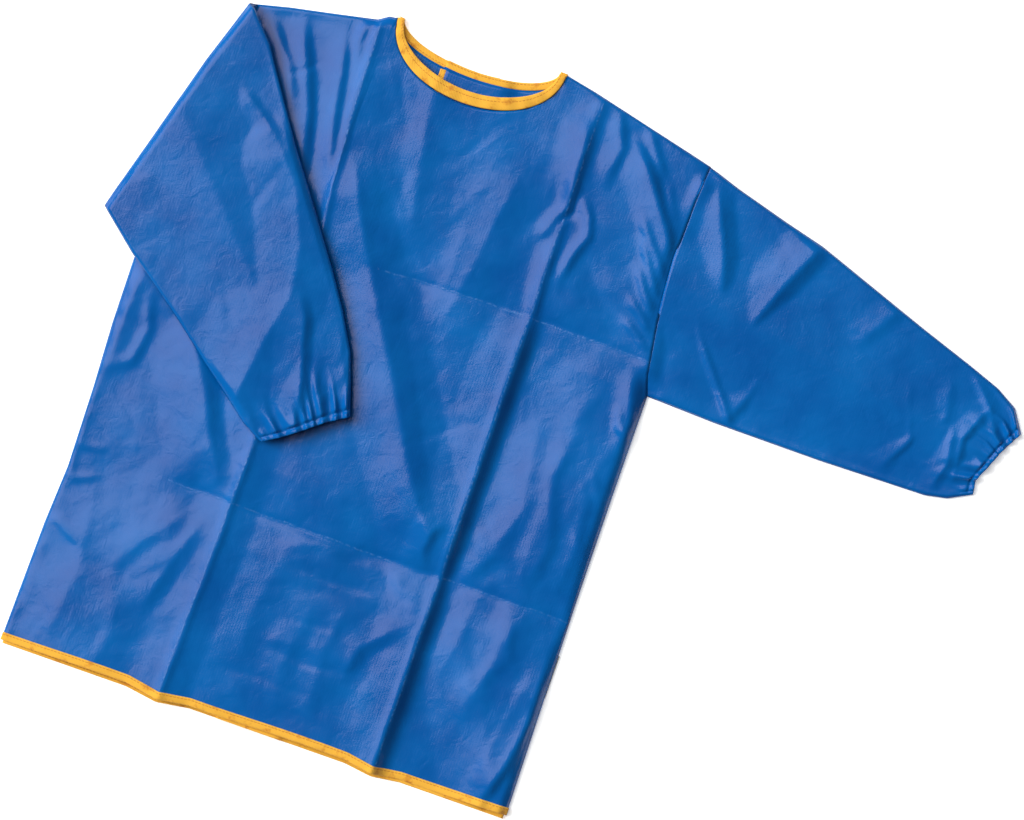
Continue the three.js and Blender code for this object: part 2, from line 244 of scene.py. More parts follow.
def coated_nylon_taffeta(name="coated_nylon_taffeta", pressed=False):
    """Nylon taffeta with a polyurethane coating: a deep colour under a soft gloss that veils whatever
    faces the light, and fine crinkles that stay in the coating once it has been folded."""
    settings = bpy.context.scene.smock_cloth
    material, tree = new_material(name)
    place = add_node(tree, "TexCoord").outputs["UV"]
    # Patches about 70 mm across, where the coating is a little paler and duller.
    patches = {"Vector": place, "Scale": 14.0, "Detail": 3.0, "Roughness": 0.55}
    drift = add_node(tree, "TexNoise", patches).outputs[0]
    pale = add_node(tree, "MapRange", {"Value": drift, "From Min": 0.35, "From Max": 0.7}).outputs[0]
    shades = {"Factor": pale, "A": settings.colour, "B": settings.fold_colour}
    colour = add_node(tree, "Mix", shades, data_type="RGBA").outputs["Result"]
    # Crinkles about 12 mm across, with finer ones on them.
    crinkles = {"Vector": place, "Scale": 80.0, "Detail": 4.0, "Roughness": 0.55, "Distortion": 0.6}
    crinkle = add_node(tree, "TexNoise", crinkles).outputs[0]
    folds = {"Height": crinkle, "Strength": 0.25, "Distance": 0.0016}
    relief = add_node(tree, "Bump", folds).outputs[0]
    # Threads drawn 2.4 mm apart, coarser than the real 0.2 mm.
    threads = {"Vector": place, "Scale": BAND_PITCH / (2.4166 * MM), "Distortion": 1.5, "Detail": 2.0}
    weave = add_node(tree, "TexWave", threads, wave_type="BANDS", bands_direction="X").outputs[1]
    ribs = {"Height": weave, "Strength": 0.06, "Distance": 0.0003, "Normal": relief}
    relief = add_node(tree, "Bump", ribs).outputs[0]
    if pressed:
        # Highlight lines painted along the pressed folds: a paler colour, with a small bump under it.
        painted_fold_highlight = pressed_lines(tree, place)
        shades = {"Factor": painted_fold_highlight, "A": colour, "B": settings.cracked_colour}
        colour = add_node(tree, "Mix", shades, data_type="RGBA").outputs["Result"]
        edges = {"Height": painted_fold_highlight, "Strength": 0.35, "Distance": 0.0005, "Normal": relief}
        relief = add_node(tree, "Bump", edges).outputs[0]
    gloss = add_node(tree, "MapRange", {"Value": drift, "To Min": 0.2, "To Max": 0.27}).outputs[0]
    finish = {
        "Base Color": colour,
        "Roughness": gloss,
        "IOR": 1.45,
        "Specular Tint": (1.0, 0.8, 0.9, 1.0),
        "Normal": relief,
    }
    shader = add_node(tree, "BsdfPrincipled", finish)
    add_node(tree, "OutputMaterial", {"Surface": shader.outputs[0]})
    return material


def coated_nylon_taffeta_fold_highlights():
    """The coated nylon of the front, with highlights painted along the folds it was packed in."""
    return coated_nylon_taffeta("coated_nylon_taffeta_fold_highlights", pressed=True)


def polycotton_bias_tape():
    """Polycotton bias tape, woven and folded: matt, with thread lines across it and a row of stitches."""
    settings = bpy.context.scene.smock_tape
    material, tree = new_material("polycotton_bias_tape")
    uv = add_node(tree, "TexCoord").outputs["UV"]
    # Mottling about 13 mm across.
    mottling = {"Vector": uv, "Scale": 75.0, "Detail": 4.0, "Roughness": 0.65}
    blotch = add_node(tree, "TexNoise", mottling).outputs[0]
    colour = settings.mark_colour
    for start, paler in ((0.3, settings.fold_colour), (0.38, settings.colour)):
        span = {"Value": blotch, "From Min": start, "From Max": start + 0.08}
        share = add_node(tree, "MapRange", span).outputs[0]
        shades = {"Factor": share, "A": colour, "B": paler}
        colour = add_node(tree, "Mix", shades, data_type="RGBA").outputs["Result"]
    # Threads at a slant, drawn 3.1 mm apart along the tape, coarser than the real 0.3 mm.
    threads = {"Vector": uv, "Scale": 2 * BAND_PITCH / (3.1416 * MM), "Distortion": 0.8}
    weave = add_node(tree, "TexWave", threads, wave_type="BANDS", bands_direction="DIAGONAL").outputs[1]
    ribs = {"Height": weave, "Strength": 0.2, "Distance": 0.0003}
    relief = add_node(tree, "Bump", ribs).outputs[0]
    # One row of stitches 2.4 mm long and 0.9 mm apart, drawn thicker than the real thread.
    split = add_node(tree, "SeparateXYZ", {0: uv}).outputs
    row = add_node(tree, "Math", {0: split[1], 1: 1.7 * MM, 2: 0.35 * MM}, operation="COMPARE").outputs[0]
    turn = add_node(tree, "Math", {0: split[0], 1: 1.65 * MM}, operation="PINGPONG").outputs[0]
    dash = add_node(tree, "Math", {0: turn, 1: 1.2 * MM}, operation="LESS_THAN").outputs[0]
    stitch = add_node(tree, "Math", {0: row, 1: dash}, operation="MULTIPLY").outputs[0]
    shades = {"Factor": stitch, "A": colour, "B": settings.thread_colour}
    colour = add_node(tree, "Mix", shades, data_type="RGBA").outputs["Result"]
    raised = {"Height": stitch, "Strength": 0.5, "Distance": 0.0004, "Normal": relief}
    relief = add_node(tree, "Bump", raised).outputs[0]
    finish = {
        "Base Color": colour,
        "Roughness": 0.75,
        "IOR": 1.5,
        "Sheen Weight": 0.15,
        "Sheen Roughness": 0.6,
        "Normal": relief,
    }
    shader = add_node(tree, "BsdfPrincipled", finish)
    add_node(tree, "OutputMaterial", {"Surface": shader.outputs[0]})
    return material


def hook_and_loop_tape():
    """Woven nylon hook-and-loop tape: a dense, dull nap with no gloss."""
    material, tree = new_material("hook_and_loop_tape")
    place = add_node(tree, "TexCoord").outputs["Object"]
    # Tufts drawn 1.1 mm apart, coarser than the real hooks.
    nap = add_node(tree, "TexVoronoi", {"Vector": place, "Scale": 900.0}).outputs[0]
    relief = add_node(tree, "Bump", {"Height": nap, "Strength": 0.7, "Distance": 0.0006}).outputs[0]
    finish = {"Base Color": linear("123F86"), "Roughness": 0.95, "Sheen Weight": 0.3, "Normal": relief}
    shader = add_node(tree, "BsdfPrincipled", finish)
    add_node(tree, "OutputMaterial", {"Surface": shader.outputs[0]})
    return material


def satin_label_ribbon():
    """Woven satin ribbon, blank: white with a soft sheen along its threads."""
    material, tree = new_material("satin_label_ribbon")
    place = add_node(tree, "TexCoord").outputs["Object"]
    # Threads drawn 0.8 mm apart, coarser than the real 0.1 mm.
    threads = {"Vector": place, "Scale": BAND_PITCH / (0.7854 * MM)}
    weave = add_node(tree, "TexWave", threads, wave_type="BANDS", bands_direction="X").outputs[1]
    relief = add_node(tree, "Bump", {"Height": weave, "Strength": 0.15, "Distance": 0.0002}).outputs[0]
    finish = {"Base Color": linear("F2F2EE"), "Roughness": 0.4, "Normal": relief}
    shader = add_node(tree, "BsdfPrincipled", finish)
    add_node(tree, "OutputMaterial", {"Surface": shader.outputs[0]})
    return material


def finish_with(obj, maker):
    """Gives a piece its material in its one slot, made the first time it is wanted and named as its maker is."""
    made = bpy.data.materials.get(maker.__name__) or maker()
    obj.data.materials.clear()
    obj.data.materials.append(made)


# ------------------------------------------------------------------ curves and creases


def smooth(t):
    """Eases from 0 to 1 as t goes from 0 to 1."""
    t = np.clip(t, 0.0, 1.0)
    return t * t * (3 - 2 * t)


def mix(a, b, t):
    return a + (b - a) * t


def trace(path, t):
    """The points at fractions t of a path's length, with corners kept."""
    points = np.array(path, float)
    steps = np.hypot(*np.diff(points, axis=0).T)
    lengths = np.concatenate([[0], np.cumsum(steps)]) / steps.sum()
    return np.interp(t, lengths, points[:, 0]), np.interp(t, lengths, points[:, 1])


def near(path, x, y):
    """For each place: its distance to a path, on which side it is (1 is left of the path's direction),
    and how far along the path the nearest point is."""
    points = np.array(path, float)
    best = np.full(np.shape(x), np.inf)
    side = np.ones(np.shape(x))
    along = np.zeros(np.shape(x))
    start = 0.0
    for (ax, ay), (bx, by) in zip(points[:-1], points[1:]):
        dx, dy = bx - ax, by - ay
        length = math.hypot(dx, dy)
        t = np.clip(((x - ax) * dx + (y - ay) * dy) / length**2, 0, 1)
        away = np.hypot(x - ax - t * dx, y - ay - t * dy)
        closer = away < best
        turn = np.where(dx * (y - ay) - dy * (x - ax) >= 0, 1.0, -1.0)
        best = np.where(closer, away, best)
        side = np.where(closer, turn, side)
        along = np.where(closer, start + t * length, along)
        start += length
    return best, side, along, start


SEED_STEP = 7.31  # how far apart two seeds stand in the noise


def wander(x, y, size, seed):
    """Smooth noise from -1 to 1, with bumps of about the given size."""
    places = zip(np.ravel(x), np.ravel(y))
    flat = [noise.noise(Vector((a / size, b / size, seed * SEED_STEP))) for a, b in places]
    return np.array(flat).reshape(np.shape(x))


FACET_TABLE = 64  # the facets repeat after this many


def facets(x, y, size, turn, seed):
    """Flat three-sided facets that meet at straight creases, from -1 to 1."""
    c, s = math.cos(turn), math.sin(turn)
    px, py = (x * c - y * s) / size, (x * s + y * c) / size
    a, b = px - py / math.sqrt(3), 2 * py / math.sqrt(3)
    i, j = np.floor(a).astype(int), np.floor(b).astype(int)
    fa, fb = a - i, b - j
    table = np.random.default_rng(seed).uniform(-1, 1, (FACET_TABLE, FACET_TABLE))

    def at(di, dj):
        return table[(i + di) % FACET_TABLE, (j + dj) % FACET_TABLE]

    lower = at(0, 0) + fa * (at(1, 0) - at(0, 0)) + fb * (at(0, 1) - at(0, 0))
    upper = at(1, 1) + (1 - fa) * (at(0, 1) - at(1, 1)) + (1 - fb) * (at(1, 0) - at(1, 1))
    return np.where(fa + fb > 1, upper, lower)


LONGEST_FADE = 45.0  # a crease dies away over a third of its length at each end, or this far at most


def creased(x, y, creases):
    """The height that a list of creases adds. Each is (height, width of its left flank, width of its right
    flank, path): a ridge, or a furrow if the height is below 0, that strays a little from its path."""
    strength = bpy.context.scene.smock_cloth.crease
    # The lines stray by up to 1.6 mm over 45 mm and by 0.3 mm over 12 mm.
    wx = x + 1.6 * wander(x, y, 45.0, 1) + 0.3 * wander(x, y, 12.0, 2)
    wy = y + 1.6 * wander(x, y, 45.0, 3) + 0.3 * wander(x, y, 12.0, 4)
    total = np.zeros(np.shape(x))
    for height, left, right, path in creases:
        away, side, along, length = near(path, wx, wy)
        t = np.clip(1 - away / np.where(side > 0, left, right), 0, 1)
        fade = min(0.35 * length, LONGEST_FADE)
        ends = smooth(along / fade) * smooth((length - along) / fade)
        total += height * t * (0.7 + 0.3 * t) * ends
    return strength * total


def bunches(*rows):
    """Short creases scattered in bunches, in the form that creased() reads."""
    creases = []
    for seed, count, x0, x1, y0, y1, heading, spread, length, height in rows:
        random = np.random.default_rng(seed)
        for _ in range(count):
            x, y = random.uniform(x0, x1), random.uniform(y0, y1)
            angle = math.radians(heading + random.normal() * spread)
            half = length * random.uniform(0.3, 0.8)
            bend = random.uniform(-0.12, 0.12) * half
            dx, dy = math.cos(angle), math.sin(angle)
            tall = height * random.uniform(0.5, 1.3) * (1 if random.uniform() < 0.6 else -1)
            ends = (x - dx * half, y - dy * half), (x + dx * half, y + dy * half)
            middle = (x - dy * bend, y + dx * bend)
            flanks = random.uniform(5, 16), random.uniform(4, 9)
            creases.append((tall, *flanks, (ends[0], middle, ends[1])))
    return tuple(creases)


def crumpled(x, y, seed):
    """Facets of four sizes all over, all but the smallest warped so that their creases aren't ruled."""
    height = bpy.context.scene.smock_cloth.crumple
    wx = x + 14 * wander(x, y, 120.0, seed)
    wy = y + 14 * wander(x, y, 120.0, seed + 1)
    return height * (
        facets(wx, wy, 100.0, 0.35, seed)
        + 0.45 * facets(wx, wy, 48.0, 1.1, seed + 1)
        + 0.22 * facets(wx, wy, 21.0, 2.2, seed + 2)
        + 0.08 * facets(x, y, 9.0, 0.8, seed + 3)
    )


def relaxed(z, passes):
    """Takes the hardness off creases on a grid of heights."""
    for _ in range(passes):
        padded = np.pad(z, 1, mode="edge")
        beside = padded[:-2, 1:-1] + padded[2:, 1:-1] + padded[1:-1, :-2] + padded[1:-1, 2:]
        z = (4 * z + beside) / 8
    return z


# ------------------------------------------------------------------ meshes

MERGE_DISTANCE = 1e-6  # vertices nearer than this are one, in metres


def mesh_object(name, bm):
    """A new object with the bmesh as its mesh."""
    mesh = bpy.data.meshes.new(name)
    bm.to_mesh(mesh)
    bm.free()
    obj = bpy.data.objects.new(name, mesh)
    bpy.context.scene.collection.objects.link(obj)
    return obj


def grid_object(name, columns, rows, surface, closed=False, fill_ends=False, flip=False):
    """A grid of columns by rows whose vertices surface(u, v) puts in place: u and v are arrays from 0 to 1,
    and it gives x, y, z and the flat pattern's two coordinates. closed joins its first and last rows into
    a tube, and fill_ends closes the tube's ends."""
    bm = bmesh.new()
    bmesh.ops.create_grid(bm, x_segments=columns, y_segments=rows, size=0.5)
    obj = mesh_object(name, bm)
    mesh = obj.data
    flat = np.empty(len(mesh.vertices) * 3)
    mesh.vertices.foreach_get("co", flat)
    u = np.round((flat[0::3] + 0.5) * columns).astype(int)
    v = np.round((flat[1::3] + 0.5) * rows).astype(int)
    gu, gv = np.meshgrid(np.linspace(0, 1, columns + 1), np.linspace(0, 1, rows + 1))
    x, y, z, s, t = (np.broadcast_to(a, gu.shape) for a in surface(gu, gv))
    flat[0::3] = x[v, u] * MM
    flat[1::3] = (y[v, u] + HEM_Y) * MM
    flat[2::3] = z[v, u] * MM
    mesh.vertices.foreach_set("co", flat)
    layer = mesh.uv_layers.new(name="pattern")
    corners = np.empty(len(mesh.loops), int)
    mesh.loops.foreach_get("vertex_index", corners)
    spots = np.stack([s[v, u] * MM, t[v, u] * MM], axis=1)[corners]
    layer.data.foreach_set("uv", spots.ravel().astype(np.float32))
    bm = bmesh.new()
    bm.from_mesh(mesh)
    for face in bm.faces:
        face.smooth = True
    if closed:
        bmesh.ops.remove_doubles(bm, verts=bm.verts, dist=MERGE_DISTANCE)
    if fill_ends:
        ends = [edge for edge in bm.edges if edge.is_boundary]
        bmesh.ops.holes_fill(bm, edges=ends, sides=0)
    if closed:
        bmesh.ops.recalc_face_normals(bm, faces=bm.faces)
    if flip:
        bmesh.ops.reverse_faces(bm, faces=bm.faces)
    bm.to_mesh(mesh)
    bm.free()
    return obj


def thicken(obj, thickness):
    """Gives a sheet its thickness, on the inside of its outer face."""
    wall = obj.modifiers.new("thickness", "SOLIDIFY")
    wall.thickness = thickness * MM
    wall.offset = -1.0
    wall.use_even_offset = False


def cloth_piece(name, columns, rows, surface, maker, **shape):
    """A grid of cloth with its thickness and its finish."""
    obj = grid_object(name, columns, rows, surface, **shape)
    thicken(obj, bpy.context.scene.smock_cloth.thickness)
    finish_with(obj, maker)
    return obj


def fuller(wave, power):
    """A sine or cosine made fuller towards a square wave, with its sign kept."""
    return np.sign(wave) * np.abs(wave) ** power


TAPE_SIDES = 16  # how many faces go round a tape


def tape(name, path, width, height, samples):
    """Binding tape folded over an edge. path(t) gives the arrays x, y, z of the tape's middle, width(t) its
    width, and height(t, across) adds to its height."""
    thickness = bpy.context.scene.smock_tape.thickness

    def surface(u, v):
        x, y, z = path(u)
        grad_x, grad_y = np.gradient(x, axis=1), np.gradient(y, axis=1)
        size = np.hypot(grad_x, grad_y) + 1e-9
        nx, ny = -grad_y / size, grad_x / size
        angle = 2 * math.pi * v
        across = width(u) / 2 * fuller(np.cos(angle), 0.6)
        up = thickness / 2 * fuller(np.sin(angle), 0.8)
        along = np.cumsum(size, axis=1)
        return x + nx * across, y + ny * across, z + up + height(u, across), along, across

    obj = grid_object(name, samples, TAPE_SIDES, surface, closed=True, fill_ends=True)
    finish_with(obj, polycotton_bias_tape)
    return obj


def bend_across(obj, fold, outwards):
    """Looks up the hinge of a fold line and the direction outwards across it, and bakes the piece's place
    into its mesh; the piece is not bent."""
    hinge = next(j for j in frame["record"]["behaviour"]["joints"] if j["name"] == fold)
    foot, axis = Vector(hinge["pos_m"]), Vector(hinge["axis"])
    outwards = (outwards - axis * outwards.dot(axis)).normalized()
    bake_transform(obj)


# ------------------------------------------------------------------ outline of the pattern pieces

# Where the hem drops at a pressed fold: x, how far it drops, and half the width of the dip.
HEM_DIPS = ((-92.0, 4.5, 30.0), (113.0, 3.5, 26.0))

RIGHT_SIDE = (
    (-HEM_X - 3, 0), (-HEM_X - 1, 110), (-HEM_X + 2, 165), (-HEM_X, 240), (-HEM_X - 3, 300),
    (-HEM_X - 4, 362), (-ARMPIT_X - 3, ARMPIT_Y),
)
LEFT_SIDE = (
    (HEM_X + 1, 0), (HEM_X - 1, 100), (HEM_X - 3, 200), (HEM_X - 4, 300), (ARMPIT_X, ARMPIT_Y),
)
LEFT_ARMHOLE = (
    (ARMPIT_X, ARMPIT_Y), (ARMPIT_X - 6, ARMPIT_Y + 18), (ARMPIT_X - 13, ARMPIT_Y + 63),
    (ARMPIT_X - 16, ARMPIT_Y + 93), (ARMPIT_X - 18, ARMPIT_Y + 125),
    (ARMPIT_X - 17, ARMPIT_Y + 180), (SHOULDER_X + 7, SHOULDER_Y),
)
RIGHT_ARMHOLE = (
    (-ARMPIT_X - 3, ARMPIT_Y), (-ARMPIT_X + 12, ARMPIT_Y + 63), (-ARMPIT_X + 17, ARMPIT_Y + 125),
    (-SHOULDER_X, SHOULDER_Y + 3),
)
RIGHT_SHOULDER = (
    (-SHOULDER_X, SHOULDER_Y + 3), (-185, 621), (-150, 628), (-107, 637), (-98, 643),
    (NECK_LEFT, NECK_Y - 4),
)
LEFT_SHOULDER = (
    (NECK_RIGHT, NECK_Y - 2), (100, 640), (150, 628), (200, 616), (SHOULDER_X + 7, SHOULDER_Y),
)


def neckline(t, drop):
    """Half an ellipse from the right neck point to the left one."""
    angle = math.pi * (1 + t)
    half = (NECK_RIGHT - NECK_LEFT) / 2
    top = NECK_Y - 3
    return NECK_X + half * np.cos(angle), top + (drop - 3) * np.sin(angle)


def hem_drop(x):
    """How far the hem hangs below its straight line at x."""
    return sum(drop * np.clip(1 - np.abs(x - at) / half, 0, 1) for at, drop, half in HEM_DIPS)


def patch_between(u, v, bottom, top, left, right):
    """A point inside four edge curves that meet at their ends. Each curve gives x, y arrays."""
    corners = [curve(np.array(t)) for curve in (bottom, top) for t in (0.0, 1.0)]
    result = []
    for k in (0, 1):
        straight = (
            (1 - u) * (1 - v) * corners[0][k]
            + u * (1 - v) * corners[1][k]
            + (1 - u) * v * corners[2][k]
            + u * v * corners[3][k]
        )
        across = (1 - v) * bottom(u)[k] + v * top(u)[k]
        along = (1 - u) * left(v)[k] + u * right(v)[k]
        result.append(across + along - straight)
    return result


# ------------------------------------------------------------------ front of the body

PRESSED_FOLDS = (
    (4.2, 44, 16, ((113, -60), (113, 60), (113, 150), (113, 190))),
    (3.8, 40, 13, ((113, 165), (113, 300), (111, 440))),
    (2.0, 26, 12, ((110, 536), (110, 560), (106, 700))),
    (1.2, 6, 5, ((113, -60), (113, 182), (111, 430), (109, 700))),
    (3.6, 34, 26, ((-92, -60), (-88, 100), (-86, 240), (-88, 330))),
    (1.4, 7, 6, ((-92, -60), (-88, 100), (-86, 240), (-88, 330))),
    (3.8, 22, 50, ((-88, 395), (-97, 500), (-100, 545), (-102, 600), (-108, 700))),
    (1.3, 6, 6, ((-88, 395), (-97, 500), (-100, 545), (-102, 600), (-108, 700))),
    (-0.7, 4, 5, ((-60, 424), (60, 428), (110, 430), (245, 427))),
    (-0.8, 5, 5, ((-160, 185), (-90, 181), (0, 180), (113, 181), (270, 180))),
    (-2.4, 46, 30, ((-60, 424), (60, 428), (110, 430), (245, 427))),
    (-2.6, 40, 34, ((-160, 185), (-90, 181), (0, 180), (113, 181), (270, 180))),
)
FRONT_CREASES = (
    # The long diagonal ridge from the left fold to the right one, and the hollow beyond it.
    (6.4, 42, 40, ((104, 194), (62, 250), (20, 322), (-15, 384), (-50, 440), (-90, 520))),
    (-1.5, 26, 44, ((106, 200), (62, 285), (22, 362), (-12, 430))),
    (2.4, 30, 34, ((-10, 436), (-22, 500), (-34, 560), (-40, 640))),
    (3.4, 64, 40, ((36, 380), (48, 460), (62, 560))),
    # The lower corner of the left side, and the light patch along its edge.
    (1.8, 34, 22, ((166, 52), (176, 90), (190, 160), (206, 200))),
    (1.5, 28, 18, ((138, 84), (146, 124), (152, 178), (166, 210))),
    (1.5, 30, 14, ((204, 8), (206, 50), (214, 100), (226, 150))),
    (4.4, 24, 7, ((206, -16), (225, 40), (233, 84), (234, 150))),
    # The knot of creases on the left pressed fold.
    (2.8, 14, 6, ((114, 406), (111, 468), (110, 495), (112, 530))),
    (3.4, 13, 4, ((90, 490), (98, 506), (104, 518), (110, 532), (110, 560), (108, 574))),
    (1.6, 3, 4, ((97, 500), (102, 506), (112, 519), (118, 528))),
    (-2.0, 5, 4, ((100, 508), (107, 520), (117, 530), (114, 546), (113, 552))),
    (3.2, 9, 4, ((124, 456), (126, 473), (130, 495), (137, 514), (133, 530), (126, 541), (112, 554))),
    # Towards the left shoulder and its armhole.
    (3.4, 28, 5, ((110, 534), (108, 575), (103, 630))),
    (2.6, 20, 5, ((134, 556), (140, 600), (122, 646))),
    (5.4, 26, 8, ((220, 486), (213, 524), (201, 545), (174, 583), (142, 620))),
    (2.4, 8, 5, ((188, 582), (170, 606), (150, 632))),
    (1.4, 6, 4, ((212, 544), (199, 566), (186, 590))),
    (2.6, 9, 4, ((220, 492), (197, 522), (172, 556))),
    (2.8, 8, 4, ((220, 476), (199, 504), (178, 536))),
    (2.8, 8, 4, ((221, 460), (201, 486), (182, 514))),
    (2.4, 8, 4, ((223, 446), (204, 466), (184, 480))),
    (2.0, 8, 4, ((226, 430), (206, 448), (184, 460))),
    (-1.4, 18, 20, ((128, 520), (160, 470), (200, 440))),
    # Down the left side.
    (3.2, 16, 5, ((233, 330), (228, 372), (212, 418))),
    (2.2, 6, 6, ((237, 352), (220, 362), (212, 384))),
    (1.3, 22, 12, ((146, 196), (162, 262), (150, 360))),
    (1.8, 26, 9, ((186, 186), (196, 240), (178, 300), (186, 350))),
    (1.2, 18, 10, ((214, 188), (220, 246), (206, 318))),
    (1.6, 34, 10, ((128, 178), (150, 214), (176, 222))),
    (0.9, 6, 5, ((238, 286), (222, 296), (208, 322))),
    (0.9, 6, 5, ((238, 244), (220, 250), (206, 268))),
    (1.0, 14, 8, ((176, 92), (192, 132), (186, 176))),
    # Between the folds, low down.
    (2.4, 20, 8, ((102, 180), (90, 197), (92, 218), (104, 232))),
    (1.6, 24, 9, ((60, 184), (84, 160), (112, 148))),
    (-1.2, 12, 8, ((10, 168), (52, 176), (100, 172))),
    (2.4, 22, 10, ((58, 60), (66, 96), (100, 132))),
    (2.6, 52, 40, ((40, 0), (36, 80), (46, 150))),
    (-1.0, 12, 5, ((-34, 147), (20, 145), (84, 149))),
    (-0.7, 12, 5, ((-24, 100), (36, 104), (72, 98))),
    (-1.0, 12, 5, ((-28, 72), (26, 68), (90, 75))),
    (-0.6, 9, 5, ((-66, 38), (-10, 42), (56, 38))),
    (1.0, 30, 14, ((-30, 30), (-38, 90), (-22, 168))),
    (1.0, 26, 14, ((12, 10), (4, 60), (16, 140))),
    (1.8, 34, 20, ((40, 166), (0, 172), (-40, 160))),
    # Right side, under and below the folded sleeve.
    (4.4, 44, 14, ((-98, 186), (-122, 226), (-140, 268), (-184, 334))),
    (2.6, 8, 44, ((-238, 236), (-236, 300), (-232, 376))),
    (1.8, 9, 7, ((-238, 258), (-214, 274), (-209, 304), (-222, 350))),
    (-0.6, 3, 4, ((-224, 248), (-204, 232), (-180, 212))),
    (2.4, 30, 12, ((-136, 50), (-120, 112), (-102, 172))),
    (1.3, 24, 12, ((-176, 84), (-146, 130), (-108, 176))),
    (-0.5, 5, 8, ((-152, 82), (-136, 98), (-122, 112))),
    (1.0, 6, 5, ((-246, 192), (-228, 187), (-206, 190))),
    (1.0, 6, 5, ((-246, 164), (-228, 157), (-202, 168))),
    (1.3, 8, 6, ((-248, 120), (-226, 114), (-196, 98))),
    (1.8, 34, 40, ((-206, 0), (-196, 80), (-210, 170))),
    (1.2, 26, 20, ((-160, -20), (-150, 40), (-164, 90))),
    # Rays from the right shoulder.
    (2.6, 13, 6, ((-146, 528), (-170, 574), (-204, 616))),
    (3.4, 18, 7, ((-120, 470), (-138, 540), (-160, 592), (-172, 628))),
    (3.4, 17, 7, ((-100, 478), (-116, 552), (-132, 634))),
    (2.2, 9, 5, ((-108, 590), (-116, 612), (-112, 640))),
    (-1.0, 4, 4, ((-170, 562), (-156, 570), (-140, 586))),
)
# Short creases in bunches: (seed, how many, x from, x to, y from, y to, heading, spread, length, height).
FRONT_BUNCHES = (
    (5, 16, -75, 100, 8, 172, 0, 16, 60, 0.35),
    (6, 10, -228, -104, 12, 230, 55, 22, 80, 0.25),
    (7, 14, 122, 226, 110, 400, 80, 45, 75, 0.35),
    (9, 12, -86, 100, 190, 590, 110, 45, 90, 0.35),
)
SEAM_DIP = 0.3  # how far a seam sinks between the cloth on its two sides
SEAM_RISE = 5.6  # height of an armhole seam over its ends
EDGE_Z = 1.9  # height at which the front meets the back along the side seams
EDGE_ROLL = 1.1  # how far the front rises in the first 2.6 mm from its edge
LAP_Z = 3.5  # height of the inner back panel's upper face where it laps over the fastenings
STRIP_X = 127.0  # where the strip outside the left pressed fold starts to tilt
STRIP_WIDTH = 55.0
STRIP_TILT = 0.095  # how far the strip rises for each mm towards the side


def seam_height(y):
    """Height of an armhole seam, which is low at the armpit and at the shoulder."""
    up = np.clip((y - ARMPIT_Y) / (SHOULDER_Y - ARMPIT_Y), 0, 1)
    return EDGE_Z + SEAM_RISE * smooth(up / 0.12) * smooth((1 - up) / 0.1)


PUCKER_SIZE = 9.0  # length of one pucker along an armhole seam, and how far it reaches from it, in mm
PUCKER_MIDDLE = 75.0  # how far up an armhole its puckers are strongest, in mm


def pucker(away, along):
    """Small uneven waves where a line of stitching draws the cloth in."""
    turns = 2 * math.pi * along / PUCKER_SIZE
    waves = np.sin(turns + 2.6 * np.sin(along / 23.0) + 1.3 * np.sin(along / 9.0))
    strong = 0.3 + 0.7 * smooth(1 - np.abs(along - PUCKER_MIDDLE) / PUCKER_MIDDLE)
    seam = SEAM_DIP * np.exp(-((away / 1.6) ** 2))
    return 0.55 * strong * waves * np.exp(-away / PUCKER_SIZE) - seam


def front_height(x, y):
    """Height of the front's outer face."""
    loft = bpy.context.scene.smock_cloth.loft
    right_side, left_side = near(RIGHT_SIDE, x, y)[0], near(LEFT_SIDE, x, y)[0]
    shoulders = np.minimum(near(RIGHT_SHOULDER, x, y)[0], near(LEFT_SHOULDER, x, y)[0])
    edge = np.minimum(np.minimum(right_side, left_side), shoulders)
    # The strip outside the left pressed fold lies low and tilted, higher towards the side.
    strip = smooth((450 - y) / 60)
    left_rise = mix(smooth(left_side / 30), smooth((124 - x) / 12), strip)
    rise = np.minimum(np.minimum(smooth(right_side / 110), left_rise), smooth(shoulders / 70))
    relief = creased(x, y, PRESSED_FOLDS + FRONT_CREASES + bunches(*FRONT_BUNCHES)) + crumpled(x, y, 11)
    z = EDGE_Z + EDGE_ROLL * smooth(edge / 2.6) + (loft - EDGE_Z - EDGE_ROLL) * rise
    z = z + relief * smooth(edge / 8)
    start = STRIP_X + 0.5 * np.clip(93 - y, 0, 90)
    z = z + STRIP_TILT * np.clip(x - start, 0, STRIP_WIDTH) * smooth(edge / 8) * strip
    for path in (LEFT_ARMHOLE, RIGHT_ARMHOLE):
        away, _, along, _ = near(path, x, y)
        z = mix(seam_height(y), z, smooth(away / 11)) + pucker(away, along)
    for path in (RIGHT_SIDE, LEFT_SIDE):
        away, _, along, _ = near(path, x, y)
        # The side seams' stitching draws the edge into small waves.
        z = z + 0.5 * np.sin(along / 4.1 + np.sin(along / 17.0)) * np.exp(-away / 6) * (away > 0.5)
    # The front never sinks into the back, which is thicker where its two panels lap.
    lap = smooth((x - INNER_EDGE + 14) / 8) * smooth((OUTER_EDGE + 22 - x) / 8)
    floor = mix(1.5, LAP_Z + 1.2, lap) * smooth(edge / 6)
    return floor + np.logaddexp(0, 3 * (z - floor)) / 3


NECK_FROM, NECK_TO = 0.26, 0.74  # the share of the front's top edge that is neckline


